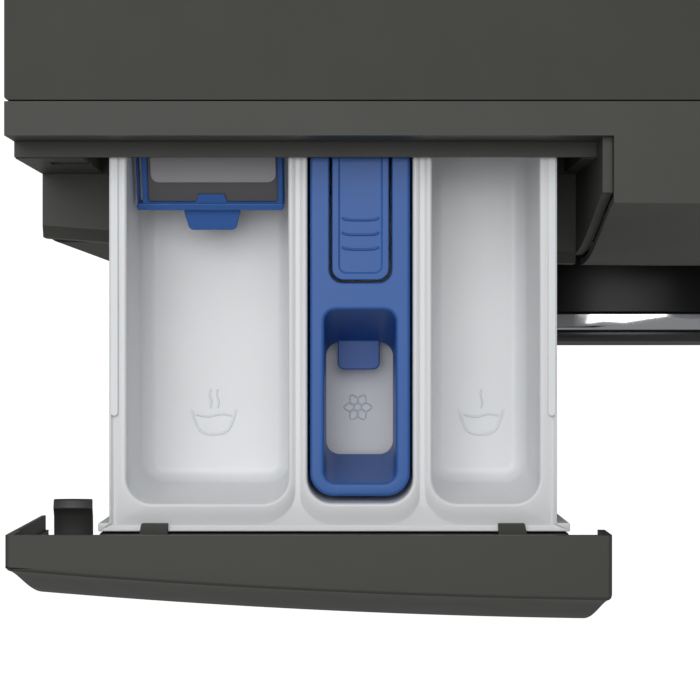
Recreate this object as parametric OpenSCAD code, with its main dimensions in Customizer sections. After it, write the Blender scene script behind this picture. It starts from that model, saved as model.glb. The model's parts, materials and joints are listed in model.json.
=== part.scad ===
// Front loading washing machine with an open detergent drawer.
// Millimetres, +Z up, front towards -Y, origin under the middle of the whole box.

/* [Cabinet] */
// Width over the side panels
body_w = 598; // [580:1:720]
// Height from the floor to the top panel
body_h = 850; // [835:1:900]
// Depth from the front panel to the rear panel
body_depth = 560; // [545:1:680]
// Thickness of the steel sheets
steel_t = 1; // [0.8:0.1:1.5]
// Height of the top panel's rim
top_t = 18; // [14:1:22]
// Height of the cabinet's underside above the floor
foot_h = 20; // [16:1:28]
// Radius of a foot's pad
foot_r = 22; // [18:1:26]

/* [Console] */
// Height of the console
console_h = 115; // [113:1:118]
// Wall of the console moulding
console_t = 3; // [2.4:0.1:3.4]
// Radius of the bow that the console and the drawer front follow
bow_r = 3561; // [3000:10:6000]
// How far the face bulges in front of its top crease
face_bulge = 20.5; // [17:0.5:22]
// How far below the top the face bulges most
bulge_depth = 110; // [108:1:114]
// Depth of the top strip from the crease to the top panel
strip_d = 41.8; // [40:0.2:46]

/* [Drawer] */
// How far the drawer is pulled out
drawer_travel = 162.7; // [100:0.1:175]
// Left edge of the cheek beside the drawer front
cheek_x = -54.1; // [-56:0.1:-52]
// Height of the drawer front
front_h = 98; // [96:0.5:98]
// Wall of the drawer front
front_t = 3; // [2.4:0.1:3.2]
// Width of the tray
tray_w = 189.5; // [157.5:0.5:191]
// Depth of the tray below its rim
tray_h = 62; // [58:0.5:62]
// Length of the tray behind its flange
tray_len = 239.7; // [225:0.5:250]
// Clearance between the insert and the tray's walls
insert_gap = 1.1; // [0.6:0.1:1.6]

/* [Door and drum] */
// Height of the door's and the drum's axis
axis_z = 430; // [425:1:440]
// Outer radius of the door ring
door_r = 235; // [230:1:240]
// Outer radius of the drum
drum_r = 240; // [200:1:242]
// Depth of the drum
drum_d = 325; // [300:1:330]
// Radius of the drum shaft
shaft_r = 15; // [12:0.5:18]
// Radius of the drum pulley
pulley_r = 140; // [120:1:150]
// Radius of the motor pulley
motor_pulley_r = 12; // [9:0.5:15]

/* [Controls] */
// Radius of the programme knob
knob_r = 26; // [22:0.5:27]
// Radius of a push button
button_r = 8; // [6:0.5:9]
// Travel of a push button
button_travel = 1.5; // [1:0.1:2]

/* [Hidden] */
$fn = 96;

// Clearances
seam = 0.5;
free = 0.3;
run = 0.05;
eps = 1;

// Colours
graphite = [0.31, 0.31, 0.29];
graphite_dark = [0.20, 0.20, 0.19];
black = [0.04, 0.04, 0.04];
white = [0.90, 0.90, 0.91];
blue = [0.27, 0.42, 0.66];
steel = [0.72, 0.73, 0.74];
zinc = [0.62, 0.64, 0.66];
chrome = [0.85, 0.86, 0.87];
concrete = [0.55, 0.55, 0.53];
rubber = [0.30, 0.31, 0.32];
smoke = [0.45, 0.47, 0.50];
brass = [0.75, 0.62, 0.35];

// Main planes, measured from the crease at the middle of the console
half_w = body_w / 2;
panel_y = -9.5;
rear_y = panel_y + body_depth;
top_z = body_h;
console_z = body_h - console_h;
shell_top = body_h - top_t;
rear_reach = 20;
front_end_x = cheek_x + 3.7;
front_reach = drawer_travel + face_out(1 + front_h) - bow(front_end_x);
// Moves the model from the crease to the middle of its box
crease_y = (front_reach - (rear_y + rear_reach)) / 2;

// Set-back of the bow at x
function bow(x) = bow_r - sqrt(bow_r * bow_r - x * x);
// How far the face stands in front of the crease at a depth below the top
function face_out(d) = face_bulge * pow(sin(90 * d / bulge_depth), 1.35);
// Side outline of the face from depth d0 to d1, moved back by inset
function face_line(d0, d1, inset, n = 20) =
    [for (i = [0:n]) let (d = d0 + (d1 - d0) * i / n) [face_out(d) - inset, body_h - d]];

// Puts a module drawn from the crease in its place
module placed() { translate([0, crease_y, 0]) children(); }
// Puts a drawer module, drawn closed, at the open position
module pulled() { translate([0, crease_y - drawer_travel, 0]) children(); }
// A box from its low corner to its high corner
module span(low, high) { translate(low) cube(high - low); }
// A cylinder along Y from y0 to y1
module rod_y(x, z, r, y0, y1) {
    translate([x, y0, z]) rotate([-90, 0, 0]) cylinder(r = r, h = y1 - y0);
}
// A cylinder along X from x0 to x1
module rod_x(y, z, r, x0, x1) {
    translate([x0, y, z]) rotate([0, 90, 0]) cylinder(r = r, h = x1 - x0);
}
// A tube along Y
module tube_y(x, z, r_out, r_in, y0, y1) {
    difference() {
        rod_y(x, z, r_out, y0, y1);
        rod_y(x, z, r_in, y0 - eps, y1 + eps);
    }
}
// Revolves [radius, y] points about the drum's axis
module turned_y(points) {
    translate([0, 0, axis_z]) rotate([-90, 0, 0])
        rotate_extrude($fn = 180) polygon([for (p = points) [p[0], p[1]]]);
}
// Revolves [outward, z] points along the bow
module bowed(points) {
    sweep = 6;
    translate([0, bow_r, 0]) rotate([0, 0, -90 - sweep])
        rotate_extrude(angle = 2 * sweep, $fn = 720)
        polygon([for (p = points) [bow_r + p[0], p[1]]]);
}
// A flat outline with round corners, drawn in XY
module round_rect(x0, y0, x1, y1, r) {
    union() {
        translate([x0 + r, y0]) square([x1 - x0 - 2 * r, y1 - y0]);
        translate([x0, y0 + r]) square([x1 - x0, y1 - y0 - 2 * r]);
        for (x = [x0 + r, x1 - r], y = [y0 + r, y1 - r]) translate([x, y]) circle(r, $fn = 48);
    }
}
// A block with round vertical edges
module round_block(low, high, r) {
    translate([0, 0, low[2]]) linear_extrude(high[2] - low[2])
        round_rect(low[0], low[1], high[0], high[1], r);
}
// A plate facing the front with round corners, from y0 to y1
module front_plate(x0, z0, x1, z1, r, y0, y1) {
    translate([0, y1, 0]) rotate([90, 0, 0]) linear_extrude(y1 - y0)
        round_rect(x0, z0, x1, z1, r);
}
// A hexagonal nut along Z
module nut_z(x, y, z0, h, flats, hole_r) {
    translate([x, y, z0]) difference() {
        cylinder(r = flats / sqrt(3), h = h, $fn = 6);
        translate([0, 0, -eps]) cylinder(r = hole_r, h = h + 2 * eps);
    }
}

// ---- Cabinet ----

side_front_y = panel_y + 25;
side_gap_y = side_front_y + seam;
rear_inner_y = rear_y - steel_t;
strip_gap = 0.6;

module top_panel() {
    y0 = strip_d + strip_gap;
    color(graphite) placed() difference() {
        round_block([-half_w, y0, shell_top], [half_w, rear_y + 4, top_z], 1.5);
        span([-half_w + 14, y0 + 14, shell_top - eps], [half_w - 14, rear_y - 12, top_z - 4]);
    }
}
spring_y = 330;
spring_x = half_w - 69;
spring_shelf_z = shell_top - 47;
module side_panel(side) {
    x0 = side > 0 ? half_w - steel_t : -half_w;
    shelf_in = 50;
    color(graphite) placed() {
        difference() {
            span([x0, side_gap_y, foot_h], [x0 + steel_t, rear_y, shell_top]);
            span([x0 - eps, side_gap_y - eps, console_z - seam],
                 [x0 + steel_t + eps, strip_d + strip_gap, shell_top + eps]);
        }
        shelf_x0 = side > 0 ? spring_x - 18 : -half_w + steel_t;
        shelf_x1 = side > 0 ? half_w - steel_t : -spring_x + 18;
        span([shelf_x0, spring_y - shelf_in / 2, spring_shelf_z],
             [shelf_x1, spring_y + shelf_in / 2, spring_shelf_z + 3]);
    }
}
module left_side_panel() { side_panel(-1); }
module right_side_panel() { side_panel(1); }

inlet_x = -220;
inlet_z = shell_top - 34;
drain_x = half_w - 22;
drain_z = 95;
cord_x = 240;
cord_z = body_h - 95;
transit_x = 215;
transit_z = [300, 700];
transit_r = 6.5;
service_x = 165;
service_z = [axis_z - 230, axis_z + 200];
cover_lap = 15;
screw_r = 2;
rear_screw_spots = concat(
    [for (x = [-270, -90, 90, 270]) [x, shell_top - 10]],
    [for (z = [60, 330, 600]) [-half_w + 12, z]],
    [for (z = [60, 330, 600]) [half_w - 12, z]]);
cover_screw_spots = [for (x = [-1, 1], z = [service_z[0] - 8, service_z[1] + 8])
    [x * (service_x - 20), z]];

module rear_panel() {
    color(zinc) placed() difference() {
        span([-half_w + steel_t, rear_inner_y, foot_h], [half_w - steel_t, rear_y, shell_top]);
        front_plate(-service_x, service_z[0], service_x, service_z[1], 40,
                    rear_inner_y - eps, rear_y + eps);
        rod_y(inlet_x, inlet_z, 17, rear_inner_y - eps, rear_y + eps);
        rod_y(drain_x, drain_z, 14, rear_inner_y - eps, rear_y + eps);
        rod_y(cord_x, cord_z, 10, rear_inner_y - eps, rear_y + eps);
        for (x = [-transit_x, transit_x], z = transit_z)
            rod_y(x, z, transit_r, rear_inner_y - eps, rear_y + eps);
        for (s = concat(rear_screw_spots, cover_screw_spots))
            rod_y(s[0], s[1], screw_r, rear_inner_y - eps, rear_y + eps);
        for (i = [0:6]) front_plate(-70, 60 + 14 * i, 70, 66 + 14 * i, 2.9,
                                    rear_inner_y - eps, rear_y + eps);
    }
}
cover_d = 12;
module rear_service_cover() {
    x1 = service_x + cover_lap;
    z0 = service_z[0] - cover_lap;
    z1 = service_z[1] + cover_lap;
    color(zinc) placed() difference() {
        union() {
            front_plate(-x1, z0, x1, z1, 50, rear_y, rear_y + steel_t);
            front_plate(-service_x + 10, service_z[0] + 10, service_x - 10, service_z[1] - 10,
                        34, rear_y, rear_y + cover_d);
        }
        front_plate(-service_x + 11, service_z[0] + 11, service_x - 11, service_z[1] - 11,
                    33, rear_y - eps, rear_y + cover_d - steel_t);
        for (s = cover_screw_spots) rod_y(s[0], s[1], screw_r, rear_y - eps, rear_y + 2 * eps);
    }
}
module rear_screws() {
    color(steel) placed() {
        for (s = rear_screw_spots) {
            rod_y(s[0], s[1], screw_r - run, rear_inner_y - 4, rear_y);
            rod_y(s[0], s[1], 4, rear_y, rear_y + 2.4);
        }
        for (s = cover_screw_spots) {
            rod_y(s[0], s[1], screw_r - run, rear_inner_y - 4, rear_y + steel_t);
            rod_y(s[0], s[1], 4, rear_y + steel_t, rear_y + steel_t + 2.4);
        }
    }
}
pan_t = 3;
pan_rim = 22;
foot_x = half_w - 44;
foot_y = [side_gap_y + 30, rear_y - 44];
stud_r = 5;
module base_pan() {
    x1 = half_w - steel_t - 0.1;
    y0 = panel_y + steel_t + 0.1;
    y1 = rear_inner_y - 0.1;
    color(zinc) placed() difference() {
        round_block([-x1, y0, foot_h], [x1, y1, foot_h + pan_rim], 6);
        round_block([-x1 + 2, y0 + 2, foot_h + pan_t], [x1 - 2, y1 - 2, foot_h + pan_rim + eps], 4);
        for (x = [-foot_x, foot_x], y = foot_y)
            translate([x, y, foot_h - eps]) cylinder(r = stud_r + run, h = pan_t + 2 * eps);
    }
}
nut_h = 5;
module feet() {
    color(black) placed() for (x = [-foot_x, foot_x], y = foot_y) translate([x, y, 0]) {
        cylinder(r = foot_r, h = 6);
        translate([0, 0, 6]) cylinder(r1 = foot_r, r2 = 12, h = 5);
        cylinder(r = stud_r, h = foot_h + 25);
    }
}
module foot_nuts() {
    color(zinc) placed() for (x = [-foot_x, foot_x], y = foot_y)
        nut_z(x, y, foot_h - nut_h, nut_h, 17, stud_r + run);
}
dish_r = door_r - 27;
throat_r = dish_r - 38;
throat_y = panel_y + 21.5;
hatch_x = [165, 275];
hatch_z = [foot_h + 28, foot_h + 130];
hatch_axis_y = panel_y + 2.5;
hatch_axis_z = hatch_z[0] + 5.5;
hatch_pin_r = 2;
hook_x = 183;
module front_panel() {
    color(graphite) placed() difference() {
        union() {
            difference() {
                round_block([-half_w, panel_y, foot_h], [half_w, side_front_y, console_z - seam], 6);
                round_block([-half_w + steel_t, panel_y + steel_t, foot_h - eps],
                            [half_w - steel_t, side_front_y + 20, console_z], 5);
                rod_y(0, axis_z, dish_r, panel_y - eps, panel_y + 2);
            }
            turned_y([[dish_r + 1.5, panel_y], [dish_r + 1.5, panel_y + steel_t],
                      [throat_r, throat_y + steel_t], [throat_r - 5, throat_y + steel_t],
                      [throat_r - 5, throat_y], [throat_r, throat_y], [dish_r, panel_y]]);
            for (x = [hatch_x[0] - 5, hatch_x[1]])
                span([x, panel_y + steel_t, hatch_axis_z - 5], [x + 5, panel_y + 8, hatch_axis_z + 5]);
        }
        span([-half_w - eps, side_front_y, foot_h - eps], [half_w + eps, side_front_y + 30, top_z]);
        front_plate(hatch_x[0], hatch_z[0], hatch_x[1], hatch_z[1], 3, panel_y - eps, panel_y + steel_t);
        rod_x(hatch_axis_y, hatch_axis_z, hatch_pin_r + run, hatch_x[0] - 6, hatch_x[1] + 6);
        span([hook_x - 17, panel_y + 3, axis_z - 9], [hook_x + 17, throat_y + 4, axis_z + 9]);
    }
}
module front_crossbar() {
    x1 = half_w - steel_t - 6;
    z1 = console_z - 4;
    y0 = panel_y + steel_t + 0.2;
    color(zinc) placed() difference() {
        span([-x1, y0, z1 - 26], [x1, y0 + 28, z1]);
        span([-x1 - eps, y0 + 2, z1 - 24], [x1 + eps, y0 + 28 + eps, z1 - 2]);
    }
}
module filter_hatch() {
    g = 0.8;
    color(graphite) placed() {
        difference() {
            front_plate(hatch_x[0] + g, hatch_z[0] + 2.5, hatch_x[1] - g, hatch_z[1] - g, 2.5,
                        panel_y - 1.5, panel_y + 1.5);
            front_plate(hatch_x[0] + 35, hatch_z[1] - 12, hatch_x[1] - 35, hatch_z[1] - 5, 3,
                        panel_y - 2, panel_y);
        }
        difference() {
            rod_x(hatch_axis_y, hatch_axis_z, hatch_pin_r, hatch_x[0] - 3, hatch_x[1] + 3);
            span([hatch_x[0] + 6, panel_y, hatch_axis_z - 3], [hatch_x[1] - 6, panel_y + 6, hatch_axis_z + 3]);
        }
        for (x = [hatch_x[0] + g, hatch_x[1] - 6])
            span([x, panel_y + 1, hatch_axis_z - 2], [x + 6 - g, hatch_axis_y, hatch_axis_z + 2]);
    }
}

// ---- Console ----

hood_y = strip_d - 14;
hood_h = 24;
ledge_y = strip_d - 20.4;
recess_y = ledge_y - 0.4;
recess_floor = body_h - 100;
mouth_x = [-270.5, cheek_x - 5.9];
mouth_z = [recess_floor + 6, body_h - hood_h - 3];
latch_x = [-286.1, -269.4];
latch_z = body_h - 50;
tilt = atan(0.25);
face_mid = 55;
knob_x = 50;
display_x = 146;
button_x = [210, 233, 256, 279];
knob_seat_r = knob_r + 4;

// A frame on the face at x: its -Y points straight out of the face
module on_face(x, d = face_mid) {
    translate([0, bow_r, 0]) rotate([0, 0, asin(x / bow_r)])
        translate([0, -bow_r - face_out(d), body_h - d]) rotate([-tilt, 0, 0]) children();
}
// The side outline of the console's closed shape, moved in by inset
function console_outline(inset, d1) = concat(
    [[-strip_d - 40, body_h - inset], [-inset, body_h - inset]],
    face_line(inset + 1, d1, inset),
    [[face_out(d1) - 8, body_h - d1 - (inset > 0 ? 20 : 0)], [-strip_d - 40, body_h - d1 - (inset > 0 ? 20 : 0)]]);

module console_right() {
    difference() {
        intersection() {
            bowed(console_outline(0, console_h));
            span([cheek_x + 4.1, -60, console_z], [half_w, strip_d, body_h]);
        }
        intersection() {
            bowed(console_outline(console_t, console_h));
            span([cheek_x + 4.1 - eps, -60, console_z - 30], [half_w - console_t, strip_d - console_t, body_h]);
        }
    }
    // cheek wall, set back for the end of the drawer front
    difference() {
        intersection() {
            bowed(console_outline(front_t + 1.5, console_h - 2));
            span([cheek_x, -60, console_z], [cheek_x + 4.1, strip_d, body_h]);
        }
        span([cheek_x - eps, strip_d - 14, body_h - hood_h], [cheek_x + 5, strip_d + 1, body_h]);
    }
}
module console_hood() {
    difference() {
        span([-half_w, hood_y, body_h - hood_h], [cheek_x + 4.1, strip_d, body_h]);
        span([-half_w + console_t, hood_y + console_t, body_h - hood_h - eps],
             [cheek_x + 5, strip_d + eps, body_h - console_t]);
    }
    span([-half_w, ledge_y, body_h - hood_h - 3], [cheek_x, strip_d, body_h - hood_h]);
}
module console_recess() {
    // back wall and the tunnel that the tray runs in
    difference() {
        union() {
            span([-half_w, recess_y, recess_floor], [cheek_x, recess_y + 3, mouth_z[1]]);
            span([mouth_x[0] - 3, recess_y, mouth_z[0] - 3], [mouth_x[1] + 3, strip_d, mouth_z[1]]);
        }
        span([mouth_x[0], recess_y - eps, mouth_z[0]], [mouth_x[1], strip_d + eps, mouth_z[1] + eps]);
        span([latch_x[0] - 1.5, recess_y - eps, latch_z - 6], [mouth_x[0] + eps, strip_d + eps, latch_z + 6]);
    }
    // floor and the bulging lower lip
    intersection() {
        bowed(concat([[-strip_d - 40, recess_floor], [15, recess_floor], [17.5, recess_floor - 1]],
                     face_line(102, console_h, 0, 4),
                     [[17, console_z], [13, recess_floor - 5], [-strip_d - 40, recess_floor - 3]]));
        span([-half_w, -60, console_z], [cheek_x, recess_y + 3, recess_floor + eps]);
    }
}
module console_cuts() {
    on_face(knob_x) rotate([90, 0, 0]) cylinder(r = 6, h = 40, center = true);
    on_face(display_x) front_plate(-48 - seam, -17 - seam, 48 + seam, 17 + seam, 4, -10, 10);
    for (x = button_x) on_face(x) rotate([90, 0, 0]) cylinder(r = button_r + free, h = 60, center = true);
}
module console() {
    color(graphite) placed() difference() {
        union() {
            console_right();
            console_hood();
            console_recess();
            intersection() {
                on_face(knob_x) rotate([90, 0, 0]) cylinder(r = knob_seat_r, h = 8, center = true);
                on_face(knob_x) translate([-50, -1.2, -50]) cube([100, 8, 100]);
            }
        }
        console_cuts();
    }
}
module display_window() {
    color(black) placed() on_face(display_x) front_plate(-48, -17, 48, 17, 3.5, -0.3, 1.6);
}
module program_knob() {
    color(chrome) placed() on_face(knob_x) {
        difference() {
            rotate([90, 0, 0]) translate([0, 0, 1.5]) cylinder(r = knob_r, h = 21);
            rotate([90, 0, 0]) translate([0, 0, 1]) difference() {
                cylinder(r = knob_r - 3, h = 18);
                cylinder(r = 9, h = 19);
            }
        }
        rotate([90, 0, 0]) translate([0, 0, -24]) cylinder(r = 4, h = 26);
        translate([-1, -24, 8]) cube([2, 3, knob_r - 8 - 0.4]);
    }
}
module push_button(x) {
    on_face(x) rotate([90, 0, 0]) translate([0, 0, -11]) {
        cylinder(r = button_r, h = 11 + button_travel + 0.7);
        cylinder(r = button_r + 2, h = 5);
    }
}
module power_button() { color(chrome) placed() push_button(button_x[0]); }
module temperature_button() { color(chrome) placed() push_button(button_x[1]); }
module spin_button() { color(chrome) placed() push_button(button_x[2]); }
module start_button() { color(chrome) placed() push_button(button_x[3]); }

board_y = strip_d - 4;
module control_board() {
    x0 = 25;
    x1 = half_w - 18;
    z0 = console_z + 6;
    color([0.1, 0.35, 0.2]) placed() {
        span([x0, board_y - 8, z0], [x1, board_y - 6, z0 + 88]);
        for (x = [x0 + 18, x0 + 60, x0 + 96, x0 + 140, x0 + 190])
            span([x, board_y - 14, z0 + 4], [x + 20, board_y - 8, z0 + 20]);
        span([x0 + 150, board_y - 6, z0 + 10], [x0 + 200, board_y - 3.5, z0 + 60]);
    }
}

// ---- Detergent drawer, drawn closed ----

rim_z = body_h - 29;
tray_z = rim_z - tray_h;
tray_mid = -164.95;
tray_x = [tray_mid - tray_w / 2, tray_mid + tray_w / 2];
tray_y = 31;
tray_wall = 7.4;
divider = 8.1;
bay_y = tray_y + 7;
tray_end = tray_y + tray_len;
bay_end = tray_end - 6;
mid_w = 44.7;
right_w = 45.5;
bay_right = [tray_x[1] - tray_wall - right_w, tray_x[1] - tray_wall];
bay_mid = [bay_right[0] - divider - mid_w, bay_right[0] - divider];
bay_left = [tray_x[0] + tray_wall, bay_mid[0] - divider];
bay_floor = tray_z + 3;
bay_corner = 10.6;
flange_y = [26.1, 29.7];
flap_y = tray_y + 176.7;
flap_z = rim_z - 9;
flap_pin_r = 1.5;
flap_tilt = 21.3;
flap_len = 46.5;
module bay_cut(bay) {
    round_block([bay[0], bay_y, bay_floor], [bay[1], bay_end, rim_z + eps], bay_corner);
}
module drawer_tray() {
    color(white) pulled() difference() {
        union() {
            span([tray_x[0], tray_y, tray_z], [tray_x[1], tray_end, rim_z]);
            span([tray_x[0] - 4.7, flange_y[0], tray_z + 4], [tray_x[1] + 5.5, flange_y[1], rim_z]);
            span([tray_x[0] + 4, flange_y[1] - 0.1, tray_z + 5], [tray_x[1] - 4, tray_y + 0.1, rim_z - 1]);
        }
        bay_cut(bay_left);
        bay_cut(bay_mid);
        bay_cut(bay_right);
        // hollow dividers, open below
        for (x = [bay_left[1], bay_mid[1]])
            span([x + 2, bay_y + 8, tray_z - eps], [x + divider - 2, tray_end - 12, rim_z - 2]);
        for (x = [tray_x[0] + 1.8, tray_x[1] - tray_wall + 2])
            span([x, bay_y + 8, tray_z - eps], [x + tray_wall - 3.8, tray_end - 12, rim_z - 4]);
        // low weir at the rear, where the water leaves
        span([bay_left[0] + 8, bay_end - eps, tray_z + 12], [bay_left[1] - 8, tray_end + eps, rim_z - 12]);
        span([bay_right[0] + 8, bay_end - eps, tray_z + 12], [bay_right[1] - 8, tray_end + eps, rim_z - 12]);
        rod_x(flap_y, flap_z, flap_pin_r + run, bay_left[0] - 4.5, bay_left[1] + 4.5);
    }
}
front_top = body_h - 1;
front_bottom = front_top - front_h;
front_rear_y = hood_y - 0.7;
front_x = [-half_w, front_end_x];
clip_x = [[-244.7, -234], [-92.7, -81.2]];
clip_top = mouth_z[1] - 0.4;
module drawer_front() {
    d0 = body_h - front_top;
    d1 = body_h - front_bottom;
    outer = concat([[-front_rear_y - 20, front_top], [0, front_top]], face_line(d0 + 1, d1, 0),
                   [[face_out(d1) - 2.5, front_bottom - 0], [-60, front_bottom]]);
    inner = concat([[-90, front_top - front_t], [-front_t, front_top - front_t]],
                   face_line(d0 + 1 + front_t, d1 - front_t, front_t),
                   [[face_out(d1) - 4 - front_t, front_bottom + front_t], [-90, front_bottom + front_t]]);
    color(graphite) pulled() {
        difference() {
            intersection() {
                bowed(outer);
                span([front_x[0], -60, front_bottom - eps], [front_x[1], front_rear_y, front_top + eps]);
            }
            difference() {
                intersection() {
                    bowed(inner);
                    union() {
                        span([front_x[0] + front_t, -60, front_bottom],
                             [cheek_x - seam - front_t, front_rear_y + eps, front_top]);
                        span([cheek_x - seam, -60, front_bottom],
                             [front_x[1] + eps, front_rear_y + eps, front_top]);
                    }
                }
                // ribs that carry the tray's flange
                for (x = [tray_x[0] + 30, tray_x[1] - 36])
                    span([x, -60, rim_z - 40], [x + 3, flange_y[0], top_z]);
            }
            span([front_x[0] - eps, -4, front_bottom - eps],
                 [front_x[1] + eps, front_rear_y + eps, front_bottom + front_t + 0.1]);
            // clears the console's cheek when closed
            span([cheek_x - seam, front_t - face_out(d1), front_bottom - eps],
                 [front_x[1] + eps, 0, front_bottom + front_t + 0.1]);
            // clears the hood's ledge and the back wall when closed
            span([front_x[0] - eps, recess_y - 0.5, front_bottom - eps],
                 [front_x[1] + eps, front_rear_y + eps, body_h - hood_h + 0.6]);
        }
        for (c = clip_x) {
            span([c[0], 8, clip_top - 1], [c[1], 18, front_top - front_t / 2]);
            span([c[0], 8, rim_z + 0.1], [c[1], flange_y[1] + 0.8, clip_top]);
        }
    }
}
module drawer_latch() {
    d = body_h - latch_z - 4.5;
    y0 = -face_out(d) + front_t + bow(latch_x[0]) + 0.1;
    color(black) pulled() {
        span([latch_x[0], y0, latch_z - 4.5], [latch_x[1], 38.4, latch_z - 2]);
        span([latch_x[0], y0, latch_z - 2], [latch_x[0] + 2.5, 30, latch_z + 4.5]);
        span([latch_x[1] - 2.5, y0, latch_z - 2], [latch_x[1], 30, latch_z + 4.5]);
        span([latch_x[0] + 4, 33, latch_z - 2], [latch_x[1] - 4, 38.4, latch_z + 1]);
    }
}
insert_top = rim_z - 2;
insert_x = [bay_mid[0] + insert_gap, bay_mid[1] - insert_gap];
insert_y = bay_y + 2.9;
insert_end = bay_end - 2;
tongue_w = 24.1;
tongue_mid = (bay_mid[0] + bay_mid[1]) / 2 + 0.2;
tongue_x = [tongue_mid - tongue_w / 2, tongue_mid + tongue_w / 2];
tongue_y = tray_y + 101.6;
tongue_root = tongue_y + 70;
tongue_gap = 1.2;
pocket_x = [insert_x[0] + 6.1, insert_x[1] - 6.1];
pocket_y = [insert_y + 5.6, insert_y + 78.9];
insert_h = 45;
module softener_insert() {
    color(blue) pulled() difference() {
        union() {
            difference() {
                round_block([insert_x[0], insert_y, insert_top - insert_h],
                            [insert_x[1], insert_end, insert_top], 10);
                round_block([insert_x[0] + 2, insert_y + 2, insert_top - insert_h - eps],
                            [insert_x[1] - 2, insert_end - 2, insert_top - 3], 8);
            }
            round_block([pocket_x[0] - 2, pocket_y[0] - 2, insert_top - insert_h],
                        [pocket_x[1] + 2, pocket_y[1] + 2, insert_top - 2], 5);
            span([pocket_x[0] + 5, pocket_y[1] - 25, insert_top - insert_h],
                 [pocket_x[1] - 5.8, pocket_y[1] + 1, insert_top - insert_h + 2.5]);
        }
        difference() {
            round_block([pocket_x[0], pocket_y[0], insert_top - insert_h - eps],
                        [pocket_x[1], pocket_y[1], insert_top + eps], 4);
            span([pocket_x[0] + 5, pocket_y[1] - 25, insert_top - insert_h],
                 [pocket_x[1] - 5.8, pocket_y[1] + 1, insert_top - insert_h + 2.5]);
        }
        round_block([tongue_x[0] - tongue_gap, tongue_y - tongue_gap, insert_top - 4],
                    [tongue_x[1] + tongue_gap, tongue_root + tongue_gap, insert_top + eps], 5);
    }
}
module release_tongue() {
    color(blue) pulled() {
        difference() {
            round_block([tongue_x[0], tongue_y, insert_top - 2.4], [tongue_x[1], tongue_root, insert_top], 4.5);
            span([tongue_x[0] + 3, tongue_y + 3, insert_top - 0.6],
                 [tongue_x[1] - 3, tongue_root - 6, insert_top + eps]);
        }
        for (i = [0:2]) span([tongue_x[0] + 4.2, tongue_y + 12.6 + 6.3 * i, insert_top - 0.7],
                             [tongue_x[1] - 4.2, tongue_y + 14 + 6.3 * i, insert_top + 0.2]);
    }
}
// A frame at the flap's pins, with -Y running down the flap
module on_flap() { translate([0, flap_y, flap_z]) rotate([flap_tilt, 0, 0]) children(); }
flap_x = [bay_left[0] + 1.6, bay_left[1] - 2.4];
window_x = [flap_x[0] + 6.9, flap_x[1] - 5];
module detergent_flap() {
    color(blue) pulled() on_flap() {
        difference() {
            span([flap_x[0], -flap_len, -1.2], [flap_x[1], 3, 1.2]);
            span([window_x[0], -flap_len + 3.2, -2], [window_x[1], -2, 2]);
        }
        span([flap_x[0], -flap_len - 0.1, -4], [flap_x[1], -flap_len + 3, -1.1]);
        mid = (flap_x[0] + flap_x[1]) / 2 - 2;
        translate([mid, -flap_len, -4]) linear_extrude(2.5)
            polygon([[-12.5, 0.1], [-7.5, -9.5], [-6, -10.5], [6, -10.5], [7.5, -9.5], [12.5, 0.1]]);
        rod_x(0, 0, flap_pin_r, bay_left[0] - 4, bay_left[1] + 4);
        rod_x(0, 0, 2.2, flap_x[0], flap_x[1]);
    }
}
module flap_window() {
    color(smoke) pulled() on_flap()
        span([window_x[0], -flap_len + 3.2, -0.6], [window_x[1], -2.2, 0.6]);
}

// ---- Water path ----

house_t = 2.5;
house_y = [strip_d + 0.4, tray_end + 22];
house_x = [mouth_x[0] - house_t, mouth_x[1] + house_t];
house_z = [tray_z - 5.5, mouth_z[1] + 0.5 + house_t];
hose_r = 7;
spout_x = -150;
spout_y = tray_end + 2;
module dispenser_housing() {
    color(white) placed() {
        difference() {
            span([house_x[0], house_y[0], house_z[0]], [house_x[1], house_y[1], house_z[1]]);
            span([house_x[0] + house_t, house_y[0] - eps, house_z[0] + house_t],
                 [house_x[1] - house_t, house_y[1] - house_t, house_z[1] - house_t]);
            translate([spout_x, spout_y, house_z[0] - eps]) cylinder(r = 13, h = house_t + 2 * eps);
            for (x = [inlet_x - 15, inlet_x + 15])
                rod_y(x, inlet_z, 5, house_y[1] - house_t - eps, house_y[1] + eps);
        }
        for (x = [inlet_x - 15, inlet_x + 15]) tube_y(x, inlet_z, hose_r, 5, house_y[1], house_y[1] + 12);
        translate([spout_x, spout_y, house_z[0] - 14]) difference() {
            cylinder(r = 15, h = 14);
            translate([0, 0, -eps]) cylinder(r = 13, h = 14 + 2 * eps);
        }
    }
}
valve_y = rear_inner_y - 48;
module inlet_valve() {
    color(white) placed() difference() {
        union() {
            span([inlet_x - 28, valve_y, inlet_z - 20], [inlet_x + 28, rear_inner_y, inlet_z + 20]);
            rod_y(inlet_x, inlet_z, 16, rear_inner_y - 0.1, rear_y + 2);
            rod_y(inlet_x, inlet_z, 13.2, rear_y, rear_y + rear_reach);
            for (x = [inlet_x - 15, inlet_x + 15]) rod_y(x, inlet_z, hose_r, valve_y - 12, valve_y + 0.1);
        }
        rod_y(inlet_x, inlet_z, 8, rear_y - 20, rear_y + rear_reach + eps);
        for (x = [inlet_x - 15, inlet_x + 15]) rod_y(x, inlet_z, 5, valve_y - 12 - eps, valve_y + 10);
    }
}
module valve_hoses() {
    color(black) placed() for (x = [inlet_x - 15, inlet_x + 15])
        tube_y(x, inlet_z, hose_r, 5, house_y[1] + 12, valve_y - 12);
}

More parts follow.
